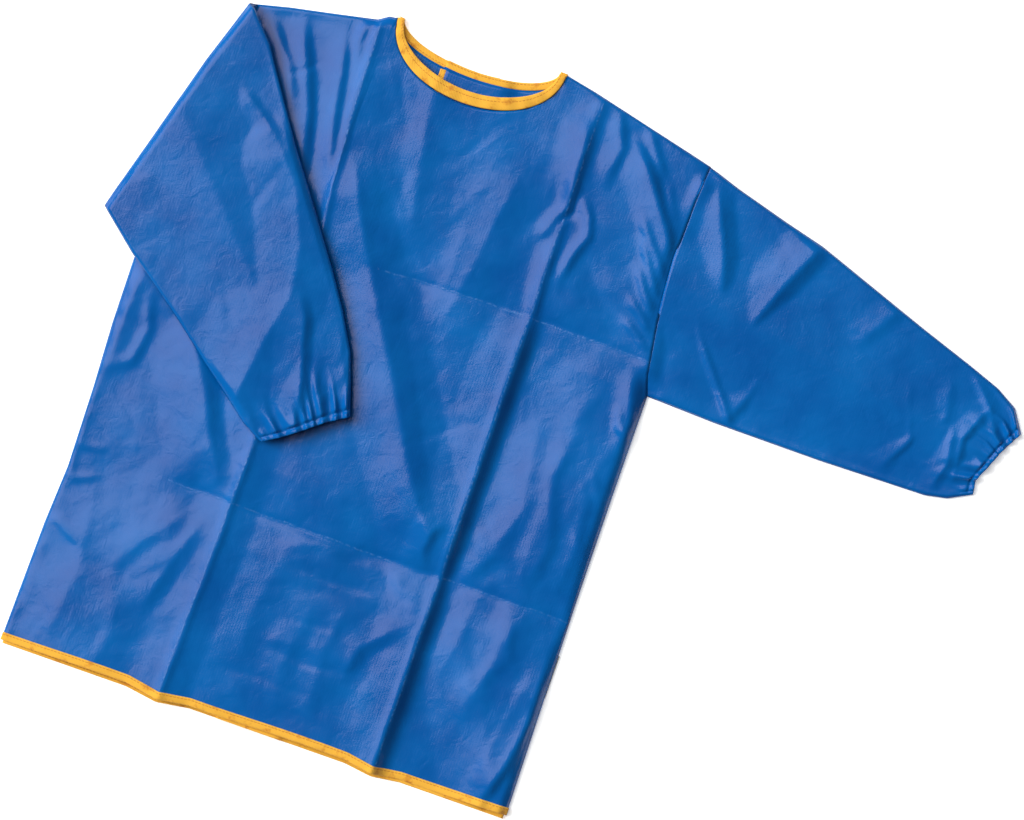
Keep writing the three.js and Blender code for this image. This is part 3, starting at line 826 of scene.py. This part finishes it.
def front_edges():
    """The four edges of the front: its hem, its shoulders with the neckline, and its two sides."""

    def bottom(t):
        x = mix(RIGHT_SIDE[0][0], LEFT_SIDE[0][0], t)
        return x, HEM_TAPE_WIDTH - hem_drop(x)

    def top(t):
        first = trace(RIGHT_SHOULDER, np.clip(t / NECK_FROM, 0, 1))
        neck = neckline(np.clip((t - NECK_FROM) / (NECK_TO - NECK_FROM), 0, 1), NECK_Y - NECK_LOW)
        last = trace(LEFT_SHOULDER, np.clip((t - NECK_TO) / (1 - NECK_TO), 0, 1))
        return [np.where(t < NECK_FROM, a, np.where(t > NECK_TO, c, b)) for a, b, c in zip(first, neck, last)]

    def left(t):
        return trace(RIGHT_SIDE + RIGHT_ARMHOLE[1:], t)

    def right(t):
        return trace(LEFT_SIDE + LEFT_ARMHOLE[1:], t)

    return bottom, top, left, right


class SMOCK_OT_front(bpy.types.Operator):
    """Makes the front of the smock"""

    bl_idname = "smock.front"
    bl_label = "Front"

    def execute(self, context):
        spacing = context.scene.smock_cloth.spacing
        edges = front_edges()
        columns = round(2 * HEM_X / spacing)
        rows = round(NECK_Y / spacing)

        def surface(u, v):
            x, y = patch_between(u, v, *edges)
            z = relaxed(front_height(x, y), 1)
            return x, y, z, x, y

        front = cloth_piece("front_cloth", columns, rows, surface, coated_nylon_taffeta_fold_highlights)
        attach(front, "smock_body")
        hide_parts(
            "front_panel",
            "right_shoulder_seam",
            "left_shoulder_seam",
            "right_side_seam",
            "left_side_seam",
            "right_armhole_seam",
            "left_armhole_seam",
        )
        return {"FINISHED"}


# ------------------------------------------------------------------ back of the body

BACK_Z = 0.45  # height of the back's upper face over the table
BACK_WIDTH = 260.0  # width of one back panel, in mm
BACK_COARSENESS = 1.8  # how much wider apart the back's vertices stand than the front's


def back_top(x_edge, side):
    """The neckline and shoulder of one back panel, from its free edge outwards, as fractions 0 to 1."""
    half = (NECK_RIGHT - NECK_LEFT) / 2
    depth = NECK_Y - BACK_NECK_LOW
    start = math.acos(np.clip(side * (x_edge - NECK_X) / half, -1, 1))
    shoulder = LEFT_SHOULDER if side > 0 else RIGHT_SHOULDER[::-1]

    def curve(t):
        angle = start * (1 - np.clip(t / 0.5, 0, 1))
        neck_x = NECK_X + side * half * np.cos(angle)
        neck_y = NECK_Y - 3 - (depth - 3) * np.sin(angle)
        out_x, out_y = trace(shoulder, np.clip((t - 0.5) / 0.5, 0, 1))
        return np.where(t < 0.5, neck_x, out_x), np.where(t < 0.5, neck_y, out_y)

    return curve


def back_panel(name, side, free_edge, height):
    """One panel of the back, from its free edge out to the side seam and the armhole."""
    side_path = LEFT_SIDE + LEFT_ARMHOLE[1:] if side > 0 else RIGHT_SIDE + RIGHT_ARMHOLE[1:]
    top = back_top(free_edge, side)
    hem_end = side_path[0][0]

    def bottom(t):
        x = mix(free_edge, hem_end, t)
        return x, HEM_TAPE_WIDTH - hem_drop(x)

    def inner(t):
        top_y = float(top(np.array(0.0))[1])
        start = float(bottom(np.array(0.0))[1])
        return free_edge + 0 * t, mix(start, top_y, t)

    def outer(t):
        return trace(side_path, t)

    def surface(u, v):
        x, y = patch_between(u, v, bottom, top, inner, outer)
        edge = near(side_path, x, y)[0]
        z = height(x) + 0.25 * (1 + wander(x, y, 60, 21)) * smooth(edge / 20)
        z = mix(1.0, z, smooth(edge / 10))
        return x, y, z, x, y

    spacing = bpy.context.scene.smock_cloth.spacing * BACK_COARSENESS
    columns, rows = round(BACK_WIDTH / spacing), round(NECK_Y / spacing)
    return cloth_piece(name, columns, rows, surface, coated_nylon_taffeta, flip=side > 0)


def outer_height(x):
    """Height of the outer panel, which lies flat on the table."""
    return BACK_Z + 0 * x


def inner_height(x):
    """Height of the inner panel, which is raised where it laps over the outer one and the fastenings."""
    return mix(LAP_Z, BACK_Z, smooth((x - OUTER_EDGE - 1) / 14))


# Each panel of the back: its side, its name, its free edge and its height.
BACK_PANELS = (
    (-1, "right", OUTER_EDGE - 3, outer_height),
    (1, "left", INNER_EDGE + 3, inner_height),
)


def bend_with_back(obj, side, name):
    """Passes a back panel to bend_across with its fold line, which bakes its place into its mesh."""
    bend_across(obj, f"{name}_back_opening", Vector((-side, 0, 0)))


class SMOCK_OT_back(bpy.types.Operator):
    """Makes the two panels of the back, the outer one under the inner one as the smock lies"""

    bl_idname = "smock.back"
    bl_label = "Back"

    def execute(self, context):
        for side, name, free_edge, height in BACK_PANELS:
            panel = back_panel(f"{name}_back_cloth", side, free_edge, height)
            bend_with_back(panel, side, name)
            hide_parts(f"{name}_back_flap", f"{name}_back_side")
        return {"FINISHED"}


# ------------------------------------------------------------------ sleeves

SLEEVE_WIDTH = 190.0  # width of a sleeve at its top, which sets how many rows it has
CROWN_LENGTH = 230.0  # length of the right sleeve's crown, which sets how many rows it has
CROWN_COLUMNS = 16
CROWN_COARSENESS = 1.5  # how much wider apart the crown's rows stand than the sleeve's
GATHERING = 0.16  # how much closer together a sleeve's columns stand towards the cuff
ARMHOLE_TUCK = 1.6  # how far a sleeve reaches under the front at its armhole, in mm
LEFT_TOP_EDGE = (
    (SHOULDER_X + 7, SHOULDER_Y), (250, 601), (300, 587), (339, 577), (400, 555), (450, 537),
    (500, 520), (530, 509), (551, 497), (564, 477),
)
LEFT_LOWER_EDGE = (
    (ARMPIT_X, ARMPIT_Y), (260, 396), (300, 394.5), (400, 394), (450, 395), (500, 396), (520, 400),
    (541, 411),
)
LEFT_CUFF = ((541, 411), (539, 424), (546, 440), (552, 455), (560, 470), (564, 477))
LEFT_CREASES = (
    (4.8, 32, 14, ((276, 484), (256, 544), (226, 612))),
    (4.4, 34, 13, ((290, 456), (318, 530), (350, 600))),
    (2.2, 5, 6, ((324, 380), (306, 409), (272, 450), (238, 495), (224, 518))),
    (1.9, 22, 7, ((304, 386), (322, 430), (332, 474))),
    (1.5, 20, 9, ((388, 494), (412, 528), (436, 566))),
    (2.4, 22, 8, ((448, 396), (472, 440), (450, 492))),
    (1.2, 16, 8, ((480, 440), (496, 470), (486, 510))),
    (2.0, 14, 7, ((500, 396), (510, 430), (502, 474))),
    (2.2, 14, 7, ((520, 412), (516, 456), (534, 502))),
    (1.8, 10, 6, ((500, 520), (530, 488), (548, 460))),
    (-1.8, 70, 60, ((250, 420), (400, 440), (520, 450))),
)
RIGHT_TOP_EDGE = (
    (-220, 612), (-214, 609), (-190, 583), (-175, 560), (-140, 508), (-100, 453), (-70, 411),
    (-50, 381), (-30, 346), (-20, 318), (-11, 291),
)
RIGHT_LOWER_EDGE = (
    (-FOLD_FOOT_X, ARMPIT_Y), (-245, 365), (-220, 347), (-185, 321), (-150, 293), (-120, 270),
    (-100, 254), (-80, 243),
)
RIGHT_CUFF = ((-80, 243), (-65, 252), (-50, 263), (-30, 279), (-11, 291))
RIGHT_FOLD = (
    (-FOLD_FOOT_X, ARMPIT_Y), (-278, 415), (-262, 470), (-248, 520), (-240, 550), (-224, 600),
    (-220, 612),
)
RIGHT_CREASES = (
    # The long ridge, the furrow across the elbow, and the fold above it.
    (4.0, 60, 34, ((-116, 240), (-112, 290), (-104, 340), (-98, 372), (-104, 420), (-125, 469), (-172, 524))),
    (-1.3, 60, 9, ((-290, 416), (-266, 436), (-220, 474), (-166, 517), (-150, 530))),
    (2.0, 22, 8, ((-150, 498), (-172, 518), (-208, 542))),
    # Towards the cuff.
    (3.4, 26, 8, ((-52, 256), (-58, 282), (-66, 315), (-79, 361), (-98, 390))),
    (1.4, 14, 6, ((-38, 266), (-46, 296), (-58, 330))),
    (1.8, 16, 6, ((-6, 284), (-18, 316), (-36, 346))),
)
# Short creases in bunches, in the same form as the front's.
LEFT_BUNCHES = (
    (15, 3, 240, 330, 410, 590, 120, 30, 80, 0.35),
    (16, 4, 330, 480, 405, 560, 60, 40, 80, 0.3),
    (17, 8, 470, 545, 405, 505, 30, 30, 40, 0.5),
)
RIGHT_BUNCHES = (
    (25, 2, -255, -150, 380, 560, 60, 30, 80, 0.3),
    (26, 4, -190, -80, 300, 460, 100, 25, 80, 0.3),
    (27, 4, -120, -30, 270, 350, 100, 20, 40, 0.5),
)


def cuff_gathers(u, b, top):
    """Ruffles that run up the sleeve from its elastic, uneven in width and length, and the frill past it."""
    stray = 0.5 * np.sin(7 * b + 1.0 + top) + 0.2 * np.sin(19 * b + 2 * top)
    phase = 2 * math.pi * (7 * b + stray)
    reach = 0.86 + 0.05 * np.sin(13 * b + 2 * top) + 0.03 * np.sin(37 * b)
    grow = smooth((u - reach) / (0.985 - reach)) ** 1.4
    ruffle = np.where(np.sin(phase) > 0, np.sin(phase), 0.6 * np.sin(phase))
    band = np.exp(-(((u - 0.983) / 0.0045) ** 2))
    frill = 0.5 * np.sin(2 * math.pi * 34 * b + 3 * np.sin(11 * b)) * smooth((u - 0.97) / 0.02)
    return 2.8 * grow * (1 - 0.6 * band) * ruffle + frill - 1.5 * band


def sleeve_object(name, top_edge, lower_edge, start, cuff, bed, creases, seed, fold_z=None):
    """A sleeve as one closed tube. bed is the height it lies on. start is its first edge, from the underarm
    to the top: an armhole, or a fold that closes on itself at fold_z."""
    spacing = bpy.context.scene.smock_cloth.spacing
    length = float(near(top_edge, 0.0, 0.0)[3])
    rows = 2 * round(SLEEVE_WIDTH / spacing)
    columns = round(length / spacing)

    def surface(u, v):
        under = v < 0.5
        around = np.where(under, 1 - 2 * v, 2 * v - 1)
        # Rows are closer together at the two edges, and columns towards the cuff, where the gathers are.
        b = mix(around, 0.5 - 0.5 * np.cos(math.pi * around), 0.5)
        a = u + GATHERING * np.sin(math.pi * u) * u
        edges = [lambda t, path=path: trace(path, t) for path in (lower_edge, top_edge, start, cuff)]
        x, y = patch_between(a, b, *edges)
        (top_x, top_y), (low_x, low_y) = trace(top_edge, a), trace(lower_edge, a)
        across = np.hypot(top_x - low_x, top_y - low_y)
        edge = np.minimum(b, 1 - b) * across
        # The upper face is a low dome with creases and gathers, and the lower one is flat up to the cuff.
        dome = 1.9 * smooth(edge / 2.4) + 1.6 * smooth(edge / 60)
        relief = creased(x, y, creases) + 0.6 * crumpled(x, y, seed)
        inside = smooth(edge / 5)
        upper = bed + 1.6 + dome + relief * smooth(edge / 8) + cuff_gathers(a, b, 1) * inside
        lower = bed + 0.5 + 0.9 * (1 - smooth(edge / 9)) + 0.2 * (1 + wander(x, y, 40, seed))
        lower = lower + 0.5 * (1 + cuff_gathers(a, b, 0)) * smooth((a - 0.85) / 0.1) * inside
        away, _, along, _ = near(start, x, y)
        if fold_z is None:
            x = x - ARMHOLE_TUCK * (1 - smooth(away / 8))
            upper = mix(seam_height(y) - 0.25, upper, smooth(away / 14)) + 0.6 * pucker(away, along)
            lower = mix(1.0, lower, smooth(away / 22))
        else:
            upper = mix(fold_z, upper, smooth(away / 6) ** 0.7)
            lower = mix(fold_z, np.maximum(lower, bed + 0.4), smooth(away / 7) ** 0.7)
        # The faces meet halfway along both edges, and never cross.
        rim = 1 - smooth(edge / 2.5)
        z = np.where(under, lower, np.maximum(upper, lower + 0.3 + edge * 0.08))
        z = mix(z, (lower + np.maximum(upper, lower)) / 2, rim * (edge < 0.2))
        z = np.where(v == 0, z[-1:, :], z)
        return x, y, z, x, y

    return cloth_piece(name, columns, rows, surface, coated_nylon_taffeta, closed=True)


class SMOCK_OT_left_sleeve(bpy.types.Operator):
    """Makes the left sleeve, spread out to the side"""

    bl_idname = "smock.left_sleeve"
    bl_label = "Left sleeve"

    def execute(self, context):
        sleeve = sleeve_object(
            "left_sleeve_cloth",
            LEFT_TOP_EDGE,
            LEFT_LOWER_EDGE,
            LEFT_ARMHOLE,
            LEFT_CUFF,
            0.0,
            LEFT_CREASES + bunches(*LEFT_BUNCHES),
            31,
        )
        bend_across(sleeve, "left_sleeve_fold", Vector((1, 0, 0)))
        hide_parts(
            "left_sleeve",
            "left_sleeve_crown",
            "left_underarm_seam",
            "left_cuff_casing",
            "left_cuff_elastic",
        )
        return {"FINISHED"}


class SMOCK_OT_right_sleeve(bpy.types.Operator):
    """Makes the right sleeve, folded over the front, and its crown underneath"""

    bl_idname = "smock.right_sleeve"
    bl_label = "Right sleeve"

    def execute(self, context):
        sleeve = sleeve_object(
            "right_sleeve_cloth",
            RIGHT_TOP_EDGE,
            RIGHT_LOWER_EDGE,
            RIGHT_FOLD,
            RIGHT_CUFF,
            SLEEVE_BED,
            RIGHT_CREASES + bunches(*RIGHT_BUNCHES),
            41,
            fold_z=FOLD_Z,
        )
        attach(sleeve, "right_sleeve")
        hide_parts("right_sleeve", "right_underarm_seam", "right_cuff_casing", "right_cuff_elastic")
        crown = self.crown()
        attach(crown, "smock_body")
        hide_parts("right_sleeve_crown")
        return {"FINISHED"}

    def crown(self):
        """The narrow part of the sleeve between its armhole and its fold, as a flat tube."""

        def surface(u, v):
            under = v < 0.5
            b = np.where(under, 1 - 2 * v, 2 * v - 1)
            fold_x, fold_y = trace(RIGHT_FOLD, b)
            hole_x, hole_y = trace(RIGHT_ARMHOLE, b)
            x, y = mix(fold_x, hole_x, u), mix(fold_y, hole_y, u)
            away = np.hypot(x - fold_x, y - fold_y)
            span = np.hypot(hole_x - fold_x, hole_y - fold_y) + 1e-6
            # Both faces meet at the fold, and drop from there to the armhole.
            upper = mix(FOLD_Z, seam_height(y), smooth(u))
            lower = mix(FOLD_Z, 1.0, smooth(np.minimum(away / 14, 1)) * smooth(span / 20))
            lower = mix(lower, 1.0, smooth(u * 1.2 - 0.2))
            edge = np.minimum(b, 1 - b) * 220
            z = np.where(under, lower, np.maximum(upper, lower + 0.2))
            z = mix(mix(FOLD_Z, EDGE_Z - 0.4, smooth(u)), z, smooth(edge / 6))
            return x, y, z, x, y

        rows = 2 * round(CROWN_LENGTH / (bpy.context.scene.smock_cloth.spacing * CROWN_COARSENESS))
        name = "right_sleeve_crown_cloth"
        return cloth_piece(name, CROWN_COLUMNS, rows, surface, coated_nylon_taffeta, closed=True)


# ------------------------------------------------------------------ bindings


class SMOCK_OT_bindings(bpy.types.Operator):
    """Makes the binding tape round the neck, along the hem and down the edges of the back"""

    bl_idname = "smock.bindings"
    bl_label = "Bindings"

    def execute(self, context):
        self.front_neck()
        self.front_hem()
        for panel in BACK_PANELS:
            self.back_tapes(*panel)
        return {"FINISHED"}

    def front_neck(self):
        """The tape round the front of the neck, wider at its middle than at its ends."""

        def path(t):
            # The middle of the tape runs inside the neckline, and its ends dip to the shoulder seams.
            x, y = neckline(t, NECK_Y - NECK_LOW - 7)
            ends = smooth(np.minimum(t, 1 - t) / 0.1)
            x = NECK_X + (x - NECK_X) * 0.955
            z = mix(3.6, relaxed(front_height(x, y - 5), 3) + 0.5, ends)
            return x, y, z

        def width(t):
            return mix(6.5, 11.8, smooth(np.minimum(t, 1 - t) / 0.34))

        def height(t, across):
            return 0.35 * np.sin(t * 41) * across / 6 + 0.25 * np.sin(t * 87)

        obj = tape("neck_tape_front", path, width, height, 150)
        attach(obj, "smock_body")
        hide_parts("neck_binding_front")

    def front_hem(self):
        """The tape along the front of the hem."""

        def path(t):
            x = mix(RIGHT_SIDE[0][0] - 0.5, LEFT_SIDE[0][0] + 0.5, t)
            y = 1.6 - hem_drop(x) + 0.7 * np.sin(x / 31.0)
            z = relaxed(front_height(x, y + 6), 2)
            return x, y, np.maximum(z, 2.2)

        def height(t, across):
            return 0.2 * np.sin(t * 160) * across / 4

        obj = tape("hem_tape_front", path, lambda t: 7.2, height, 260)
        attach(obj, "smock_body")
        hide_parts("hem_binding_front")

    def back_tapes(self, side, name, free_edge, rise):
        """The tapes of one back panel: round its part of the neck, along its hem and down its free edge."""
        top = back_top(free_edge, side)
        top_y = float(top(np.array(0.0))[1])
        hem_end = (RIGHT_SIDE if side < 0 else LEFT_SIDE)[0][0]

        def neck_path(t):
            x, y = top(0.5 * t)
            x = NECK_X + (x - NECK_X) * 0.965
            return x, y + 3.0 * (1 - 0.6 * t), np.maximum(rise(x), 0.9) + 0.15

        def hem_path(t):
            x = mix(free_edge, hem_end - 2 * side, t)
            return x, -1.0 - hem_drop(x), np.maximum(rise(x), 0.9)

        def edge_path(t):
            x = free_edge + 0 * t
            return x, mix(6.0, top_y - 3, t), np.maximum(rise(x), 0.9)

        for piece, path, width, samples, node in (
            ("neck_tape_back", neck_path, 7.0, 60, "neck_binding_back"),
            ("hem_tape_back", hem_path, 8.6, 120, "hem_binding_back"),
            ("edge_tape_back", edge_path, 6.0, 120, "back_edge_binding"),
        ):
            obj = tape(f"{piece}_{name}", path, lambda t, width=width: width, lambda t, across: 0, samples)
            bend_with_back(obj, side, name)
            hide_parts(f"{node}_{name}")


# ------------------------------------------------------------------ fastenings and label

PATCH_THICKNESS = 1.15  # thickness of one patch with its nap, in mm
LABEL_THICKNESS = 0.25


class SMOCK_OT_fastenings(bpy.types.Operator):
    """Makes the hook-and-loop patches between the back panels, and the label in the side seam"""

    bl_idname = "smock.fastenings"
    bl_label = "Fastenings"

    def execute(self, context):
        for kind, body, base in (("hook", "right_back", 0.95), ("loop", "left_back", 2.25)):
            for number in (1, 2, 3):
                node = f"{kind}_patch_{number}"
                obj = self.patch(node, base)
                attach(obj, body)
                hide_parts(node)
        self.label()
        return {"FINISHED"}

    def label(self):
        """A blank ribbon sewn into the side seam, lying on the back."""
        lo, hi = (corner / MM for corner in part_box("care_label"))

        def surface(u, v):
            x, y = mix(lo.x - 2, hi.x + 4, u), mix(lo.y, hi.y, v) - HEM_Y
            return x, y, 1.6 + 0.25 * np.sin(3 * u + v), x, y

        label = grid_object("care_label_ribbon", 16, 20, surface)
        thicken(label, LABEL_THICKNESS)
        finish_with(label, satin_label_ribbon)
        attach(label, "smock_body")
        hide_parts("care_label")

    def patch(self, node, base):
        """A patch with rounded corners, base mm over the table."""
        lo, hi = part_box(node)
        size, middle = hi - lo, (lo + hi) / 2
        bm = bmesh.new()
        bmesh.ops.create_cube(bm, size=1.0)
        bmesh.ops.scale(bm, verts=bm.verts, vec=(size.x, size.y, PATCH_THICKNESS * MM))
        bmesh.ops.translate(bm, verts=bm.verts, vec=(middle.x, middle.y, (base + 0.6) * MM))
        upright = [e for e in bm.edges if abs(e.verts[0].co.z - e.verts[1].co.z) > 1e-5]
        bmesh.ops.bevel(
            bm, geom=upright, offset=3 * MM, segments=4, profile=0.5, affect="EDGES", material=-1
        )
        obj = mesh_object(f"{node}_tape", bm)
        finish_with(obj, hook_and_loop_tape)
        return obj


# ------------------------------------------------------------------ stage

VIEW_MIDDLE = (123.8, 345.1)  # what the camera looks at, in mm
VIEW_WIDTH = 921.6  # width of the view at that place, in mm
VIEW_TURN = 19.39  # how far the smock lies turned, clockwise, in degrees
LENS, SENSOR = 180.0, 36.0  # in mm
SOFTBOX_LEAN, SOFTBOX_HEADING = 33.0, 135.0  # in degrees, as shine() reads them
SOFTBOX_DISTANCE, SOFTBOX_SIZE = 8.0, 7.05  # in metres
LOW_LEAN, LOW_HEADING, LOW_SPREAD = 56.0, 158.0, 35.0  # in degrees
FLOOR_HALF = 12.0  # half the width of the floor, in metres


class SMOCK_OT_stage(bpy.types.Operator):
    """Makes the floor, the lights and the camera"""

    bl_idname = "smock.stage"
    bl_label = "Stage"

    def execute(self, context):
        scene = context.scene
        settings = scene.smock_stage
        self.floor(settings)
        middle = Vector((VIEW_MIDDLE[0], VIEW_MIDDLE[1] + HEM_Y, 8)) * MM
        self.camera(scene, middle)
        # A large square light stands up and to the left as the camera sees it.
        softbox = bpy.data.lights.new("softbox", "AREA")
        softbox.shape = "SQUARE"
        softbox.size = SOFTBOX_SIZE
        softbox.energy = settings.softbox_power
        softbox_object, away = self.shine(softbox, SOFTBOX_LEAN, SOFTBOX_HEADING)
        softbox_object.location = middle + away * SOFTBOX_DISTANCE
        # A broad light skims over the cloth. It brings out the relief but isn't reflected in it.
        low_light = bpy.data.lights.new("low_light", "SUN")
        low_light.energy = settings.low_light
        low_light.angle = math.radians(LOW_SPREAD)
        low_object, _ = self.shine(low_light, LOW_LEAN, LOW_HEADING)
        low_object.visible_glossy = False
        self.sky(scene, settings.fill)
        scene.view_settings.view_transform = "Standard"
        return {"FINISHED"}

    def camera(self, scene, middle):
        """Looks straight down, turned so that the smock lies aslant."""
        camera = bpy.data.cameras.new("camera")
        camera.lens = LENS
        camera.sensor_width = SENSOR
        camera.clip_end = 20
        camera_object = bpy.data.objects.new("camera", camera)
        camera_object.location = middle + Vector((0, 0, VIEW_WIDTH * MM * LENS / SENSOR))
        camera_object.rotation_euler = (0, 0, math.radians(VIEW_TURN))
        scene.collection.objects.link(camera_object)
        scene.camera = camera_object

    def shine(self, light, lean, heading):
        """Puts a light in the scene that shines from lean degrees off the vertical, and gives it and the
        direction towards it. heading is its side as the camera sees it: 0 is right and 90 is up."""
        around, tilt = math.radians(heading) + math.radians(VIEW_TURN), math.radians(lean)
        flat = math.sin(tilt)
        away = Vector((flat * math.cos(around), flat * math.sin(around), math.cos(tilt)))
        obj = bpy.data.objects.new(light.name, light)
        obj.rotation_euler = away.to_track_quat("Z", "Y").to_euler()
        bpy.context.scene.collection.objects.link(obj)
        return obj, away

    def sky(self, scene, strength):
        """A dim sky lights the cloth, and the camera sees a white one."""
        scene.world = scene.world or bpy.data.worlds.new("world")
        scene.world.use_nodes = True
        tree = scene.world.node_tree
        tree.nodes.clear()
        white = (1, 1, 1, 1)
        dim = add_node(tree, "Background", {"Color": white, "Strength": strength}).outputs[0]
        bright = add_node(tree, "Background", {"Color": white, "Strength": 1.0}).outputs[0]
        seen = add_node(tree, "LightPath").outputs["Is Camera Ray"]
        sky = add_node(tree, "MixShader", {0: seen, 1: dim, 2: bright}).outputs[0]
        add_node(tree, "OutputWorld", {"Surface": sky})

    def floor(self, settings):
        """A plain pale floor of matt paper, a little lit from within so that it stays white."""
        bm = bmesh.new()
        bmesh.ops.create_grid(bm, x_segments=1, y_segments=1, size=FLOOR_HALF)
        bmesh.ops.translate(bm, verts=bm.verts, vec=(0, 0, -0.5 * MM))
        obj = mesh_object("floor", bm)
        material, tree = new_material("matt_paper")
        finish = {
            "Base Color": settings.floor_colour,
            "Roughness": 0.9,
            "Emission Color": (1.0, 1.0, 1.0, 1.0),
            "Emission Strength": 0.4,
        }
        shader = add_node(tree, "BsdfPrincipled", finish)
        add_node(tree, "OutputMaterial", {"Surface": shader.outputs[0]})
        obj.data.materials.append(material)


# ------------------------------------------------------------------ add-on

STEPS = (
    SMOCK_OT_stage,
    SMOCK_OT_front,
    SMOCK_OT_back,
    SMOCK_OT_left_sleeve,
    SMOCK_OT_right_sleeve,
    SMOCK_OT_bindings,
    SMOCK_OT_fastenings,
)


class SMOCK_PT_panel(bpy.types.Panel):
    """Lists the steps and their settings"""

    bl_idname = "SMOCK_PT_panel"
    bl_label = "Artist smock apron"
    bl_space_type = "VIEW_3D"
    bl_region_type = "UI"
    bl_category = "Smock"

    def draw(self, context):
        for group in (context.scene.smock_cloth, context.scene.smock_tape, context.scene.smock_stage):
            box = self.layout.box()
            for key in group.__annotations__:
                box.prop(group, key)
        for step in STEPS:
            self.layout.operator(step.bl_idname)


GROUPS = {
    "smock_cloth": SmockClothSettings,
    "smock_tape": SmockTapeSettings,
    "smock_stage": SmockStageSettings,
}


def register():
    for cls in (*GROUPS.values(), *STEPS, SMOCK_PT_panel):
        bpy.utils.register_class(cls)
    for name, cls in GROUPS.items():
        setattr(bpy.types.Scene, name, bpy.props.PointerProperty(type=cls))


def unregister():
    for name in GROUPS:
        delattr(bpy.types.Scene, name)
    for cls in (SMOCK_PT_panel, *reversed(STEPS), *GROUPS.values()):
        bpy.utils.unregister_class(cls)


def main():
    register()
    for step in STEPS:
        category, name = step.bl_idname.split(".")
        getattr(getattr(bpy.ops, category), name)()


if __name__ == "__main__":
    main()
